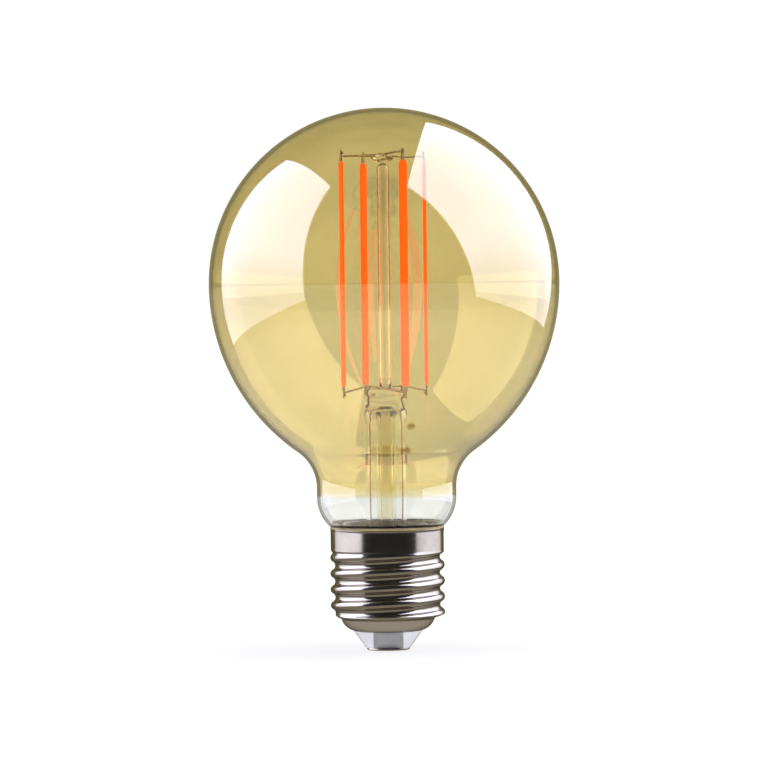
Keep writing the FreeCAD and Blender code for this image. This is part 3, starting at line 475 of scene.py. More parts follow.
def make_insulator_glaze_and_painted_reflection():
    """Pale moulded ceramic with a wet glaze; the much greyer colour across its two moulded flats is a
    painted dark reflection.
    """
    material, tree, shader = new_material("insulator_glaze_and_painted_reflection", Roughness=0.12, IOR=1.6, Coat_Weight=1.0,
                                          Coat_Roughness=GLAZE_ROUGHNESS, Coat_IOR=GLAZE_IOR)
    split = add(tree, "ShaderNodeSeparateXYZ")
    link(tree, place(tree), split.inputs["Vector"])
    across = add(tree, "ShaderNodeMath", operation="ABSOLUTE")
    link(tree, split.outputs["X"], across.inputs[0])
    # 0 across the two flats, where the painted dark reflection goes, and 1 round the pale sides.
    side = ramp(tree, across.outputs["Value"], 0.0, 1.0,
                FLAT_HALF_WIDTH - PAINTED_REFLECTION_EDGE, FLAT_HALF_WIDTH + PAINTED_REFLECTION_EDGE)
    cloud = ramp(tree, noise_at(tree, 300.0, detail=3.0), 0.0, 1.0)
    flat = blend_colours(tree, cloud, *GLAZE_PAINTED_DARK_REFLECTION)
    pale = blend_colours(tree, cloud, *GLAZE_PALE)
    link(tree, blend_colours(tree, side, flat, pale), shader.inputs["Base Color"])
    bump(tree, shader, noise_at(tree, 700.0), 0.03, 0.04 * MM)
    return material


def make_board_finish(name, mask, copper):
    """Solder mask over copper: tracks show as slightly lighter bands, with bare pads between them."""
    material, tree, shader = new_material(name, Roughness=0.35, IOR=1.5)
    bricks = add(tree, "ShaderNodeTexBrick")
    bricks.inputs["Scale"].default_value = TRACK_SCALE
    bricks.inputs["Mortar Size"].default_value = 0.12
    bricks.inputs["Color1"].default_value = (*mask, 1.0)
    bricks.inputs["Color2"].default_value = (*[c * 0.8 for c in mask], 1.0)
    bricks.inputs["Mortar"].default_value = (*[c * 1.6 for c in mask], 1.0)
    turn = add(tree, "ShaderNodeMapping")
    turn.inputs["Rotation"].default_value = (math.radians(90), 0, 0)
    link(tree, place(tree), turn.inputs["Vector"])
    link(tree, turn.outputs["Vector"], bricks.inputs["Vector"])
    dots = add(tree, "ShaderNodeTexVoronoi")
    dots.inputs["Scale"].default_value = PAD_SCALE
    link(tree, place(tree), dots.inputs["Vector"])
    pads = ramp(tree, dots.outputs["Distance"], 1.0, 0.0, 0.10, 0.16)
    link(tree, blend_colours(tree, pads, bricks.outputs["Color"], copper), shader.inputs["Base Color"])
    bump(tree, shader, bricks.outputs["Fac"], 0.2, 0.05 * MM)
    return material


amber_glass = make_amber_glass()
clear_glass = make_clear_glass("clear_glass", (0.975, 0.98, 0.975), (0.95, 0.96, 0.95))
tube_glass = make_clear_glass("tube_glass", (0.95, 0.92, 0.78), (0.92, 0.88, 0.70))
phosphor = make_phosphor_with_painted_glow()
# This nickel also carries the painted reflection on the bowl and the end contact.
nickel = make_nickel_and_painted_reflection()
insulator_glaze_and_painted_reflection = make_insulator_glaze_and_painted_reflection()
wire_metal = finish("support_wire", (0.56, 0.47, 0.32), (0.34, 0.29, 0.21), (0.18, 0.38), metal=1.0)
dumet = finish("dumet", (0.42, 0.10, 0.08), (0.30, 0.06, 0.06), (0.35, 0.5), metal=0.6)
copper = finish("copper", (0.78, 0.42, 0.26), (0.62, 0.30, 0.18), (0.22, 0.4), metal=1.0)
cement = finish("cement", (0.40, 0.31, 0.12), (0.24, 0.185, 0.075), (0.4, 0.6), grain=1500.0, relief=0.3)
solder = finish("solder", (0.62, 0.60, 0.55), (0.50, 0.47, 0.40), (0.2, 0.35), metal=1.0)

SLOT_FINISHES = {
    "nickel_wire": wire_metal,
    "dumet": dumet,
    "copper": copper,
    "copper_tinned": solder,
    "contact_plating": nickel,
    "cement": cement,
    "solder": solder,
    "insulator_ceramic": insulator_glaze_and_painted_reflection,
    "wire_sleeve": finish("wire_sleeve", (0.55, 0.05, 0.04), (0.45, 0.03, 0.03), (0.35, 0.5)),
    "liner_plastic": finish("liner_plastic", (0.82, 0.82, 0.79), (0.74, 0.74, 0.70), (0.4, 0.55)),
    "board_laminate": make_board_finish("driver_laminate", (0.02, 0.16, 0.06), (0.75, 0.70, 0.60)),
    "module_laminate": make_board_finish("module_laminate", (0.01, 0.05, 0.20), (0.80, 0.62, 0.25)),
    "shield_metal": finish("shield_tin", (0.72, 0.72, 0.70), (0.60, 0.60, 0.58), (0.25, 0.4), metal=1.0,
                           stretch=(1.0, 1.0, 6.0)),
    "chip_moulding": finish("chip_moulding", (0.03, 0.03, 0.03), (0.02, 0.02, 0.02), (0.5, 0.7), relief=0.2),
    "antenna_gold": finish("antenna_gold", (0.85, 0.62, 0.25), (0.75, 0.52, 0.20), (0.2, 0.35), metal=1.0),
    "capacitor_sleeve": finish("capacitor_sleeve", (0.02, 0.02, 0.06), (0.03, 0.03, 0.05), (0.2, 0.3)),
    "ferrite": finish("ferrite", (0.06, 0.055, 0.05), (0.04, 0.04, 0.04), (0.5, 0.7), relief=0.3),
    "resistor_coat": finish("resistor_coat", (0.18, 0.30, 0.24), (0.14, 0.25, 0.20), (0.5, 0.65),
                            relief=0.2),
    "chip_ceramic": finish("chip_ceramic", (0.40, 0.28, 0.16), (0.32, 0.22, 0.12), (0.4, 0.6)),
    "carrier_ceramic": finish("carrier_ceramic", (0.85, 0.85, 0.80), (0.78, 0.78, 0.74), (0.3, 0.45)),
    "led_chip": finish("led_chip", (0.45, 0.50, 0.62), (0.35, 0.40, 0.52), (0.15, 0.3)),
    "clear_glass": clear_glass,
    "amber_glass": amber_glass,
    "phosphor": phosphor,
    "shell_plating": nickel,
}


# ---------------------------------------------------------------- glass pieces

# Each dimple in the pinch: its middle across and up, its size and its depth, in millimetres.
DIMPLES = (((-1.6, 56.3), 0.6, 0.5), ((1.2, 56.1), 0.7, 0.55), ((0.1, 57.2), 0.5, 0.45))

# How the stem glass closes over: the share of the last ring kept and the rise above it in millimetres.
PINCH_CLOSING = ((0.9, 0.10), (0.7, 0.14), (0.4, 0.05), (0.15, 0.0), (0.0, 0.0))
CEILING_CLOSING = ((0.88, 0.25), (0.68, 0.55), (0.45, 0.8), (0.2, 0.95), (0.0, 1.0))


def envelope_side(inset):
    """The envelope's half section from its top down to its neck tube, inset into the wall."""
    lower_centre = (GLOBE_RADIUS - LOWER_RADIUS, EQUATOR)
    across = NECK_RADIUS + NECK_FLARE - lower_centre[0]
    reach = LOWER_RADIUS + NECK_FLARE
    down = math.sqrt(reach ** 2 - across ** 2)
    lean = math.degrees(math.atan2(down, across))
    flare_centre = (NECK_RADIUS + NECK_FLARE, EQUATOR - down)
    drop = NECK_RADIUS - FOOT_RADIUS
    fall = SHOULDER - FOOT
    shoulder_radius = (fall ** 2 + drop ** 2) / (2 * drop)
    tuck = math.degrees(math.asin(fall / shoulder_radius))
    points = arc((0, EQUATOR), GLOBE_RADIUS - inset, 90, 0, 90)
    points += arc(lower_centre, LOWER_RADIUS - inset, 0, -lean, 60)[1:]
    points += arc(flare_centre, NECK_FLARE + inset, 180 - lean, 180, 24)[1:]
    points += line(points[-1], (NECK_RADIUS - inset, SHOULDER), 4)
    points += arc((NECK_RADIUS - shoulder_radius, SHOULDER), shoulder_radius - inset, 0, -tuck * 0.96, 24)
    collar_centre = (FOOT_RADIUS, FOOT - COLLAR)
    points += arc(collar_centre, COLLAR + inset, 100, 180, 12)
    return points


def make_globe():
    """The blown envelope with its two surfaces and a fire-rounded foot."""
    outer = envelope_side(0.0)
    inner = envelope_side(WALL)
    foot = globe_low.z + WALL / 2
    rim_centre = ((outer[-1][0] + inner[-1][0]) / 2, foot)
    outer += line(outer[-1], (outer[-1][0], foot), 4)
    rim = arc(rim_centre, WALL / 2, 0, -180, 8)
    inner += line(inner[-1], (inner[-1][0], foot), 4)
    section = outer + rim + inner[::-1]
    section[0] = (0.0, section[0][1])
    section[-1] = (0.0, section[-1][1])
    form = turned(section, 256)
    form.make("globe_glass", amber_glass, "amber_glass", "glass_envelope")


def press_ring(height, inset):
    """One ring of the stem: round in the tube, squeezed flat and slightly waisted in the pinch."""
    squeeze = soft_step(PRESS_START, PRESS_START + PRESS_RUN, height)
    wide = STEM_RADIUS - inset
    flat = (PRESS_HALF_THICK - STEM_RADIUS) * squeeze + STEM_RADIUS - inset
    power = 2.0 + 1.9 * squeeze
    top_share = max((height - (pinch_high.z - PRESS_ROUNDING)) / PRESS_ROUNDING, 0.0)
    wide *= 1 - 0.07 * top_share ** 2
    flat *= 1 - 0.22 * top_share ** 2
    wide += 0.16 * MM * squeeze * math.sin(height / MM * 1.9)
    ring = []
    for x, y in squared_ring(wide, flat, power, STEM_SIDES):
        spot = Vector((x, y, height))
        ripple = noise.noise(spot * 640.0) * 0.80 * MM * squeeze * (0.3 if inset else 1.0)
        jaw = 0.22 * MM * squeeze * math.cos(x / STEM_RADIUS * math.pi * 1.5)
        spot.y += math.copysign(ripple + jaw, y) * min(abs(y) / (0.5 * MM), 1.0)
        if not inset and y < 0:
            for centre, size, deep in DIMPLES:
                away = math.hypot(x / MM - centre[0], height / MM - centre[1]) / size
                spot.y += deep * MM * math.exp(-away * away * 1.6)
        ring.append(spot)
    return ring


def stem_skin(flare, inset, top, steps, closing):
    """Rings of one skin of the stem: flare, straight tube, press, and the closing over its top."""
    rings = [circle(radius, height, STEM_SIDES) for radius, height in flare]
    rings += [circle(STEM_RADIUS - inset, height, STEM_SIDES) for _, height in
              line((0, FLARE_START), (0, PRESS_START), 10)]
    rings += [press_ring(PRESS_START + (top - PRESS_START) * k / steps, inset) for k in range(steps + 1)]
    last = rings[-1]
    middle = Vector((0, 0, top))
    for share, rise in closing:
        rings.append([middle + (point - middle) * share + Vector((0, 0, rise * MM)) for point in last])
    return rings


def make_stem():
    """Flare tube and pinch as one closed piece of glass, the way the press leaves them."""
    edge = (stem_high.x - stem_low.x) / 2
    sweep = edge - STEM_RADIUS
    flare_out = arc((edge, FLARE_START), sweep, 270, 180, 16)
    flare_in = arc((edge, FLARE_START), sweep + STEM_WALL, 270, 180, 16)
    outer = stem_skin(flare_out, 0.0, pinch_high.z - 0.05 * MM, 44, PINCH_CLOSING)
    inner = stem_skin(flare_in, STEM_WALL, STEM_CEILING, 16, CEILING_CLOSING)
    form = Form().loft(inner[::-1] + outer, caps=False)
    form.make("stem_glass", clear_glass, "clear_glass", "flare_tube", "pinch_press")


def make_exhaust_tube():
    """The pump tube inside the stem, with its melted tip."""
    outer = (exhaust_high.x - exhaust_low.x) / 2
    bore = EXHAUST_BORE
    bevel = 0.1 * MM
    tip = exhaust_low.z
    top = exhaust_high.z - bevel
    section = arc((0, tip + outer), outer, -90, 0, 12)
    section += line(section[-1], (outer, top), 12)
    section += [(outer, top - bevel), (outer - bevel, top), (bore + bevel, top), (bore, top - bevel)]
    section += line(section[-1], (bore, tip + outer), 12)
    section += arc((0, tip + outer), bore, 0, -90, 10)
    section[0] = (0.0, section[0][1])
    section[-1] = (0.0, section[-1][1])
    turned(section, 64).make("exhaust_tube_glass", tube_glass, "clear_glass", "exhaust_tube")


def make_post():
    """The hollow post, closed by a dome, a little swollen at its foot."""
    outer = (post_high.x - post_low.x) / 2
    bore = POST_BORE
    foot = pinch_high.z + 0.12 * MM
    top = post_high.z
    swell = [(outer * (1 + 0.35 * math.exp(-k * 0.7)), foot + k * 0.35 * MM) for k in range(8)]
    section = [(bore, foot)] + swell
    section += line(section[-1], (outer, top - outer), 20)
    section += arc((0, top - outer), outer, 0, 90, 14)
    section += arc((0, top - outer), bore, 90, 0, 12)
    section += line(section[-1], (bore, foot), 20)
    rings = [circle(max(radius, 1e-8), height, 56) for radius, height in section]
    form = Form().loft(rings, caps=False, wrap=True)
    form.make("post_glass", clear_glass, "clear_glass", "centre_post")


def make_bead():
    """The bead at the post's tip: a flattened drop of glass round the crossed wires."""
    middle = (bead_low + bead_high) / 2
    half = (bead_high - bead_low) / 2
    rings = blob_rings(middle, (half.x * 0.98, half.y * 0.98, half.z * 0.92), 22, 44, 0.12, 3.1)
    Form().loft(rings, caps=False).make("bead_glass", clear_glass, "clear_glass", "post_bead")


# ---------------------------------------------------------------- filaments and wires

def ring_matrix(number):
    """A filament's own axes: X outwards, Y sideways, Z up."""
    spot = Matrix.Rotation(math.radians(RING_ANGLE + 90 * number), 4, "Z")
    twist = Matrix.Rotation(math.radians(FILAMENT_TWISTS[number]), 4, "Z")
    return spot @ Matrix.Translation((RING, 0, 0)) @ twist


def bar_ring(thick, wide, height, power=3.4, sides=28):
    """A rounded bar's section on a filament's own axes."""
    return [Vector((x, y, height)) for x, y in squared_ring(thick, wide, power, sides)]


def make_phosphor_bar(number):
    """The phosphor coat: a dispensed bead of silicone, faintly waved over the chips."""
    low, high = box_of(f"filament_{number + 1}_phosphor")
    matrix = ring_matrix(number)
    rows = 6 * CHIPS
    rings = []
    for row in range(rows + 1):
        share = row / rows
        height = low.z + (high.z - low.z) * share
        end = min(share, 1 - share) * (high.z - low.z) / BAR_END
        taper = math.sqrt(max(1 - (1 - min(end, 1.0)) ** 2, 0.0)) * 0.5 + 0.5
        wave = 1 + 0.018 * math.cos(2 * math.pi * CHIPS * share)
        drift = 1 + 0.035 * noise.noise(Vector((number * 7.3, 0.0, share * 9.0)))
        rings.append([matrix @ point for point in
                      bar_ring(BAR_HALF_THICK * taper * wave, BAR_HALF_WIDE * taper * drift, height)])
    Form().loft(rings).make(f"filament_{number + 1}_coat", phosphor, "phosphor",
                            f"filament_{number + 1}_phosphor")


# The tab from the bar outwards: the share of its length, its half thickness and half width in millimetres.
TAB_SECTIONS = ((0.0, 0.22, 0.52), (0.25, 0.22, 0.52), (0.38, 0.16, 0.50), (0.5, 0.13, 0.42),
                (0.75, 0.13, 0.38), (0.92, 0.14, 0.36), (1.0, 0.08, 0.28))
TAB_WELD = (0.42 * MM, 0.42 * MM, 0.36 * MM)


def make_tabs(number):
    """The two end tabs: crimped nickel strips, each with its weld to a wire."""
    low, high = box_of(f"filament_{number + 1}_phosphor")
    tab_low, tab_high = box_of(f"filament_{number + 1}_tabs")
    matrix = ring_matrix(number)
    form = Form()
    for start, end in ((low.z + 0.1 * MM, tab_low.z), (high.z - 0.1 * MM, tab_high.z)):
        rings = []
        for share, thick, wide in TAB_SECTIONS:
            ring = bar_ring(thick * MM, wide * MM, start + (end - start) * share, 4.0, 20)
            rings.append([matrix @ point for point in ring])
        if end < start:
            rings.reverse()
        form.loft(rings)
        weld = matrix @ Vector((-0.15 * MM, 0.0, start + (end - start) * 0.72))
        form.loft(blob_rings(weld, TAB_WELD, 9, 16, 0.25, number + end * 900), caps=False)
    form.make(f"filament_{number + 1}_end_tabs", wire_metal, "nickel_wire", f"filament_{number + 1}_tabs",
              sharp=50)


def ring_spot(number, height, reach):
    """A point towards a filament, at a reach from the lamp's axis."""
    angle = math.radians(RING_ANGLE + 90 * number)
    return Vector((reach * math.cos(angle), reach * math.sin(angle), height))


def make_top_supports():
    """The two crossed wires through the bead, each with the small kinks of hand work."""
    for name, number, dip in (("top_support_outer", 0, -0.12), ("top_support_inner", 1, 0.1)):
        low, high = box_of(name)
        height = (low.z + high.z) / 2
        shares = (-1.0, -0.93, -0.6, -0.25, 0.0, 0.25, 0.6, 0.93, 1.0)
        lifts = (0.0, 0.05, 0.10, -0.02, 0.0, 0.02, -0.06, 0.08, 0.0)
        points = [ring_spot(number, height + lift * MM + dip * MM * abs(share), share * (RING - 0.1 * MM))
                  for share, lift in zip(shares, lifts)]
        form = Form().loft(tube_rings(smooth_path(points), WIRE))
        form.make(f"{name}_wire", wire_metal, "nickel_wire", name)


def make_bottom_arms():
    """The wires from the leads' tips out to the bottom tabs."""
    for side, number, name in ((-1, 2, "bottom_arm_left"), (1, 0, "bottom_arm_right")):
        low, high = box_of(name)
        top = high.z - WIRE
        far = low.z + WIRE
        hub = Vector((side * LEAD_OFFSET, 0, top))
        form = Form()
        for target in (number, number + 1):
            tip = ring_spot(target, far, RING - 0.15 * MM)
            bend = hub.lerp(tip, 0.18) + Vector((0, 0, 0.12 * MM))
            middle = hub.lerp(tip, 0.55) + Vector((0, 0, 0.05 * MM))
            near_tip = hub.lerp(tip, 0.92)
            form.loft(tube_rings(smooth_path([hub, bend, middle, near_tip, tip]), WIRE))
        form.loft(blob_rings(hub, (0.42 * MM, 0.40 * MM, 0.36 * MM), 9, 16, 0.3, side * 2.0), caps=False)
        form.make(f"{name}_wire", wire_metal, "nickel_wire", name)


def make_leads():
    """Each lead's three lengths: nickel tip, dumet seal and copper tail."""
    for side, word in ((-1, "left"), (1, "right")):
        for stem, material, slot, radius in (("inner_lead", wire_metal, "nickel_wire", 0.2),
                                             ("dumet_seal", dumet, "dumet", 0.2),
                                             ("outer_lead", copper, "copper", 0.19)):
            name = f"{stem}_{word}"
            low, high = box_of(name)
            place_x = side * LEAD_OFFSET
            points = [Vector((place_x + 0.05 * MM * math.sin(k * 1.9 + side), 0.06 * MM * math.sin(k * 1.3),
                              low.z + (high.z - low.z) * k / 6)) for k in range(7)]
            form = Form().loft(tube_rings(smooth_path(points, 4), radius * MM))
            form.make(f"{name}_wire", material, slot, name)


# ---------------------------------------------------------------- cap

PITCH = 3.629 * MM
THREAD_ARC = 1.025 * MM
THREAD_DEPTH = 1.095 * MM
ROOT_RADIUS = 12.0 * MM
SKIRT_RADIUS = 12.95 * MM
SKIRT_BOTTOM = 22.9 * MM
BOWL_CENTRE = (7.0 * MM, 8.2 * MM)
BOWL_RADIUS = 3.85 * MM
FADE_BOTTOM = 7.0 * MM
CREST_HEIGHT = 18.41 * MM
SHELL_WALL = 0.3 * MM


def thread_wave(phase):
    """Height of the rolled thread, 0 at a root and 1 at a crest."""
    offset = (phase - round(phase)) * PITCH
    if abs(offset) < PITCH / 4:
        rise = THREAD_DEPTH - THREAD_ARC + math.sqrt(THREAD_ARC ** 2 - offset ** 2)
    else:
        back = PITCH / 2 - abs(offset)
        rise = THREAD_ARC - math.sqrt(THREAD_ARC ** 2 - back ** 2)
    return rise / THREAD_DEPTH


def shell_radius(height, turn):
    """Outer radius of the shell at a height and at a share of a turn."""
    below = max(BOWL_CENTRE[1] - height, 0.0)
    bowl = BOWL_CENTRE[0] + math.sqrt(max(BOWL_RADIUS ** 2 - below ** 2, 0.0))
    into_thread = soft_step(FADE_BOTTOM, FADE_BOTTOM + PITCH / 3, height)
    into_skirt = soft_step(SKIRT_BOTTOM - PITCH / 3, SKIRT_BOTTOM, height)
    root = bowl + (ROOT_RADIUS - bowl) * into_thread
    plain = root + (SKIRT_RADIUS - root) * into_skirt
    phase = (height - CREST_HEIGHT) / PITCH - (turn - 0.5)
    depth = THREAD_DEPTH * into_thread * (1 - into_skirt)
    rim = 0.06 * MM * soft_step(shell_high.z - 0.5 * MM, shell_high.z - 0.1 * MM, height)
    return plain + depth * thread_wave(phase) + rim


def shell_rings(inset, columns=240):
    """Rings of one skin of the shell, from its foot to its rim."""
    rows = 230
    nudge = 0.01 * MM
    rings = []
    for row in range(rows + 1):
        height = shell_low.z + (shell_high.z - shell_low.z) * row / rows
        above = min(height + nudge, shell_high.z)
        under = max(height - nudge, shell_low.z)
        ring = []
        for column in range(columns):
            turn = column / columns
            lean = (shell_radius(above, turn) - shell_radius(under, turn)) / (above - under)
            steep = math.hypot(1.0, lean)
            radius = shell_radius(height, turn) - inset / steep
            angle = 2 * math.pi * (turn + 0.25)
            spot = Vector((math.cos(angle), math.sin(angle), 0)) * radius
            spot.z = height + inset * lean / steep
            dent = 0.025 * MM * noise.noise(spot * 160.0)
            ring.append(spot + Vector((math.cos(angle), math.sin(angle), 0)) * dent)
        rings.append(ring)
    return rings


def make_shell():
    """The screw shell with both skins and a rounded rim."""
    outer = shell_rings(0.0)
    inner = shell_rings(SHELL_WALL)
    form = Form().loft(outer + inner[::-1], caps=False, wrap=True)
    form.make("screw_cap_shell", nickel, "shell_plating", "screw_shell", sharp=60)


def make_cement():
    """The cement bead between glass and rim, uneven as it was wiped."""
    tube = FOOT_RADIUS - COLLAR
    rim = shell_high.z
    bore = SKIRT_RADIUS - 0.35 * MM
    section = [(tube, cement_low.z), (bore, cement_low.z), (bore, rim),
               (SKIRT_RADIUS + 0.02 * MM, rim), (SKIRT_RADIUS + 0.08 * MM, rim + 0.18 * MM),
               (SKIRT_RADIUS, rim + 0.38 * MM)]
    section += arc((FOOT_RADIUS, FOOT - COLLAR), COLLAR - 0.01 * MM, 96, 180, 10)
    rings = []
    for index, (radius, height) in enumerate(section):
        ring = circle(radius, height, 180)
        if 3 <= index <= 5:
            for point in ring:
                drift = noise.noise(point * 260.0)
                point.xy = point.xy * (1 + 0.006 * drift)
                point.z += 0.10 * MM * drift * (index - 3) / 2
        rings.append(ring)
    Form().loft(rings, caps=False, wrap=True).make("rim_cement", cement, "cement", "cap_cement", sharp=60)


def make_insulator():
    """The moulded cone with its rounded foot."""
    low, high = box_of("insulator")
    lip = shell_low.z
    grip = BOWL_CENTRE[0] + 0.75 * MM
    tip = 5.2 * MM
    bore = 2.0 * MM
    section = [(bore, low.z), (tip - 0.30 * MM, low.z)]
    section += arc((tip - 0.30 * MM, low.z + 0.45 * MM), 0.45 * MM, -90, -36, 8)[1:]
    section += line(section[-1], (grip + 0.05 * MM, lip - 0.25 * MM), 14)
    section += [(grip + 0.05 * MM, lip - 0.25 * MM), (grip + 0.08 * MM, lip - 0.1 * MM),
                (grip, lip + 0.02 * MM), (grip - 0.15 * MM, lip + 0.4 * MM),
                (grip + 0.85 * MM, lip + 1.3 * MM), (grip + 0.85 * MM, high.z), (bore, high.z)]
    form = turned(section, 160)
    for point in form.vertices:
        reach = math.hypot(point.x, point.y)
        if low.z < point.z < lip - 0.3 * MM and abs(point.x) < FLAT_HALF_WIDTH < reach:
            point.y = math.copysign(math.sqrt(reach ** 2 - FLAT_HALF_WIDTH ** 2), point.y)
    form.make("insulator_cone", insulator_glaze_and_painted_reflection, "insulator_ceramic", "insulator", sharp=40)


def make_contact():
    """The end contact: a pressed disc with a rolled edge and a shallow dish round its solder."""
    high = box_of("end_contact")[1]
    edge = high.x
    bore = 1.0 * MM
    thick = 0.5 * MM
    eyelet = 2.0 * MM
    section = [(bore, 0.12 * MM), (1.4 * MM, 0.05 * MM), (1.9 * MM, 0.0), (edge - 0.5 * MM, 0.0)]
    section += arc((edge - 0.25 * MM, 0.25 * MM), 0.25 * MM, -90, 0, 8)
    section += [(edge, thick), (eyelet, thick), (eyelet, high.z), (bore, high.z)]
    turned(section, 120).make("contact_disc", nickel, "contact_plating", "end_contact", sharp=40)
    rings = [circle(radius * MM, height * MM, 48) for radius, height in
             ((0.001, 0.0), (0.4, 0.01), (0.8, 0.06), (0.99, 0.16), (0.99, 1.5), (0.001, 1.55))]
    for ring in rings[1:4]:
        for point in ring:
            point.z = max(point.z + 0.03 * MM * noise.noise(point * 900.0), 0.0)
    Form().loft(rings, caps=False).make("contact_solder_fill", solder, "solder", "contact_solder", sharp=60)


def make_rim_solder():
    """The small run of solder where the neutral wire meets the rim."""
    low, high = box_of("rim_solder")
    middle = (low + high) / 2
    half = (high - low) / 2
    rings = blob_rings(middle, (half.x * 0.95, half.y * 1.1, half.z * 0.95), 14, 28, 0.3, 5.0)
    Form().loft(rings, caps=False).make("rim_solder_run", solder, "solder", "rim_solder")


# ---------------------------------------------------------------- studio

CAMERA_DISTANCE = 0.945
EYE_HEIGHT = 0.082
AIM_HEIGHT = 0.0607
LENS = 194.0
SENSOR = 36.0
CAMERA_ROLL = 0.7
SIDE_STEP = -0.3 * MM


def make_camera():
    """Level with the globe, a long lens, with the small roll that the lamp stands at."""
    data = bpy.data.cameras.new("camera")
    data.lens = LENS
    data.sensor_width = SENSOR
    data.clip_start = 0.01
    data.clip_end = 50.0
    camera = bpy.data.objects.new("camera", data)
    bpy.context.scene.collection.objects.link(camera)
    eye = Vector((SIDE_STEP, -CAMERA_DISTANCE, EYE_HEIGHT))
    aim = Vector((SIDE_STEP, 0.0, AIM_HEIGHT))
    camera.location = eye
    facing = (aim - eye).to_track_quat("-Z", "Y").to_matrix()
    roll = Matrix.Rotation(math.radians(-CAMERA_ROLL), 3, "Z")
    camera.rotation_euler = (facing @ roll).to_euler()
    bpy.context.scene.camera = camera


def make_softbox(name, corners):
    """A large flat soft panel between three corners, warm and dim low down, cool and bright higher up."""
    low, high, far = [Vector(corner) + Vector((0, 0, EQUATOR)) for corner in corners]
    centre = (high + far) / 2
    along = (far - low).normalized()
    facing = along.cross(high - low).normalized()
    if facing.dot(centre) > 0:
        facing.negate()
    up = facing.cross(along)
    data = bpy.data.lights.new(name, "AREA")
    data.shape = "RECTANGLE"
    data.size = (far - low).length
    data.size_y = (high - low).length
    data.energy = math.pi * data.size * data.size_y
    data.use_nodes = True
    tree = data.node_tree
    split = add(tree, "ShaderNodeSeparateXYZ")
    link(tree, add(tree, "ShaderNodeNewGeometry").outputs["Position"], split.inputs["Vector"])
    rise = ramp(tree, split.outputs["Z"], 0.0, 1.0, *PANEL_FADE)
    emission = tree.nodes["Emission"]
    link(tree, blend_colours(tree, rise, PANEL_LOW, PANEL_HIGH), emission.inputs["Color"])
    light = bpy.data.objects.new(name, data)
    light.matrix_world = Matrix.Translation(centre) @ Matrix((along, -up, -facing)).transposed().to_4x4()
    light.visible_camera = False
    bpy.context.scene.collection.objects.link(light)


FLOOR_REACH = 12.0
FLOOR_COLOUR = (0.10, 0.10, 0.10, 1.0)
# The emission rises from 0.80 under the lamp to 1.04 further out: the dip is a painted shadow.
FLOOR_GLOW_AND_PAINTED_SHADOW = (0.80, 1.04)
FLOOR_PAINTED_SHADOW_REACH = 0.12


def make_floor():
    """A wide, plain, pale floor glowing from within into the backdrop, with a painted shadow round the
    lamp's foot.
    """
    material, tree, shader = new_material("studio_floor_with_painted_shadow", Roughness=0.9, Specular_IOR_Level=0.0)
    shader.inputs["Base Color"].default_value = FLOOR_COLOUR
    shader.inputs["Emission Color"].default_value = (1.0, 1.0, 1.0, 1.0)
    away = add(tree, "ShaderNodeVectorMath", operation="LENGTH")
    link(tree, place(tree), away.inputs[0])
    # Painted shadow: the emission is lower near the lamp's foot.
    glow = ramp(tree, away.outputs["Value"], *FLOOR_GLOW_AND_PAINTED_SHADOW, 0.0, FLOOR_PAINTED_SHADOW_REACH)
    link(tree, glow, shader.inputs["Emission Strength"])
    mesh = bpy.data.meshes.new("studio_floor_with_painted_shadow")
    corners = [(-FLOOR_REACH, -FLOOR_REACH, 0), (FLOOR_REACH, -FLOOR_REACH, 0),
               (FLOOR_REACH, FLOOR_REACH, 0), (-FLOOR_REACH, FLOOR_REACH, 0)]
    mesh.from_pydata(corners, [], [(0, 1, 2, 3)])
    mesh.materials.append(material)
    floor = bpy.data.objects.new("studio_floor_with_painted_shadow", mesh)
    floor.location.z = -0.02 * MM
    bpy.context.scene.collection.objects.link(floor)
    floor.visible_glossy = False


# Near-low, near-high and far-low corner of each softbox, from the middle of the globe.
LEFT_PANEL = ((-1.0, -0.65, -0.18), (-0.948, -0.616, 1.80), (-1.235, 1.173, -0.42))
RIGHT_PANEL = ((1.0, -0.504, -0.137), (0.265, -0.516, 1.056), (0.994, 1.085, -0.248))
PANEL_LOW = (1.32, 1.29, 1.55)
PANEL_HIGH = (2.3, 2.35, 3.3)
PANEL_FADE = (-0.10, 0.45)
BACKDROP = (1.04, 1.04, 1.04)
DARK_SIDE = (0.012, 0.012, 0.014)
BEHIND = (0.34, 0.29, 0.13)
GROUND = (0.30, 0.275, 0.24)
FILL = (0.8, 0.8, 0.8)


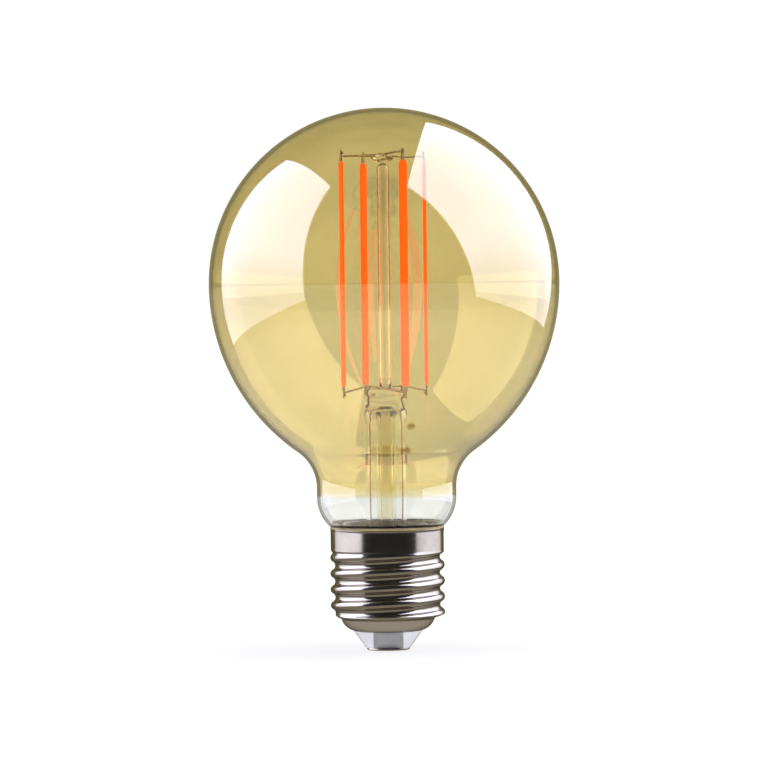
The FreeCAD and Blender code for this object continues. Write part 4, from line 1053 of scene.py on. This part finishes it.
def make_world():
    """A pale backdrop to look at, and for reflections a dim studio over a darker table."""
    world = bpy.data.worlds.new("studio")
    world.use_nodes = True
    tree = world.node_tree
    background = tree.nodes["Background"]
    path = add(tree, "ShaderNodeLightPath")
    coordinates = add(tree, "ShaderNodeTexCoord")
    split = add(tree, "ShaderNodeSeparateXYZ")
    link(tree, coordinates.outputs["Generated"], split.inputs["Vector"])
    behind = ramp(tree, split.outputs["Y"], 0.0, 1.0, 0.55, 0.9)
    ground = ramp(tree, split.outputs["Z"], 1.0, 0.0, -0.38, -0.12)
    studio = blend_colours(tree, ground, blend_colours(tree, behind, DARK_SIDE, BEHIND), GROUND)
    reflected = add(tree, "ShaderNodeMath", operation="GREATER_THAN")
    reflected.inputs[1].default_value = 0.5
    link(tree, path.outputs["Glossy Depth"], reflected.inputs[0])
    seen = blend_colours(tree, reflected.outputs["Value"], BACKDROP, studio)
    diffused = add(tree, "ShaderNodeMath", operation="GREATER_THAN")
    diffused.inputs[1].default_value = 0.5
    link(tree, path.outputs["Diffuse Depth"], diffused.inputs[0])
    link(tree, blend_colours(tree, diffused.outputs["Value"], seen, FILL), background.inputs["Color"])
    bpy.context.scene.world = world


def make_studio():
    """Two softboxes, the floor, the backdrop and enough light bounces for nested glass."""
    make_softbox("left_softbox", LEFT_PANEL)
    make_softbox("right_softbox", RIGHT_PANEL)
    make_floor()
    make_world()
    scene = bpy.context.scene
    scene.view_settings.view_transform = "Standard"
    scene.cycles.max_bounces = 40
    scene.cycles.transmission_bounces = 40
    scene.cycles.glossy_bounces = 12
    scene.cycles.transparent_max_bounces = 16


# ---------------------------------------------------------------- assembly

make_camera()
make_globe()
make_stem()
make_exhaust_tube()
make_post()
make_bead()
for number in range(FILAMENTS):
    make_phosphor_bar(number)
    make_tabs(number)
make_top_supports()
make_bottom_arms()
make_leads()
make_shell()
make_cement()
make_insulator()
make_contact()
make_rim_solder()

slots = {row["node"]: row["material_slot"] for row in frame["record"]["subparts"]}
for name, node in nodes.items():
    finish_for_slot = SLOT_FINISHES[slots[name]]
    for number in range(max(len(node.material_slots), 1)):
        if node.material_slots:
            node.material_slots[number].material = finish_for_slot
        else:
            node.data.materials.append(finish_for_slot)

make_studio()
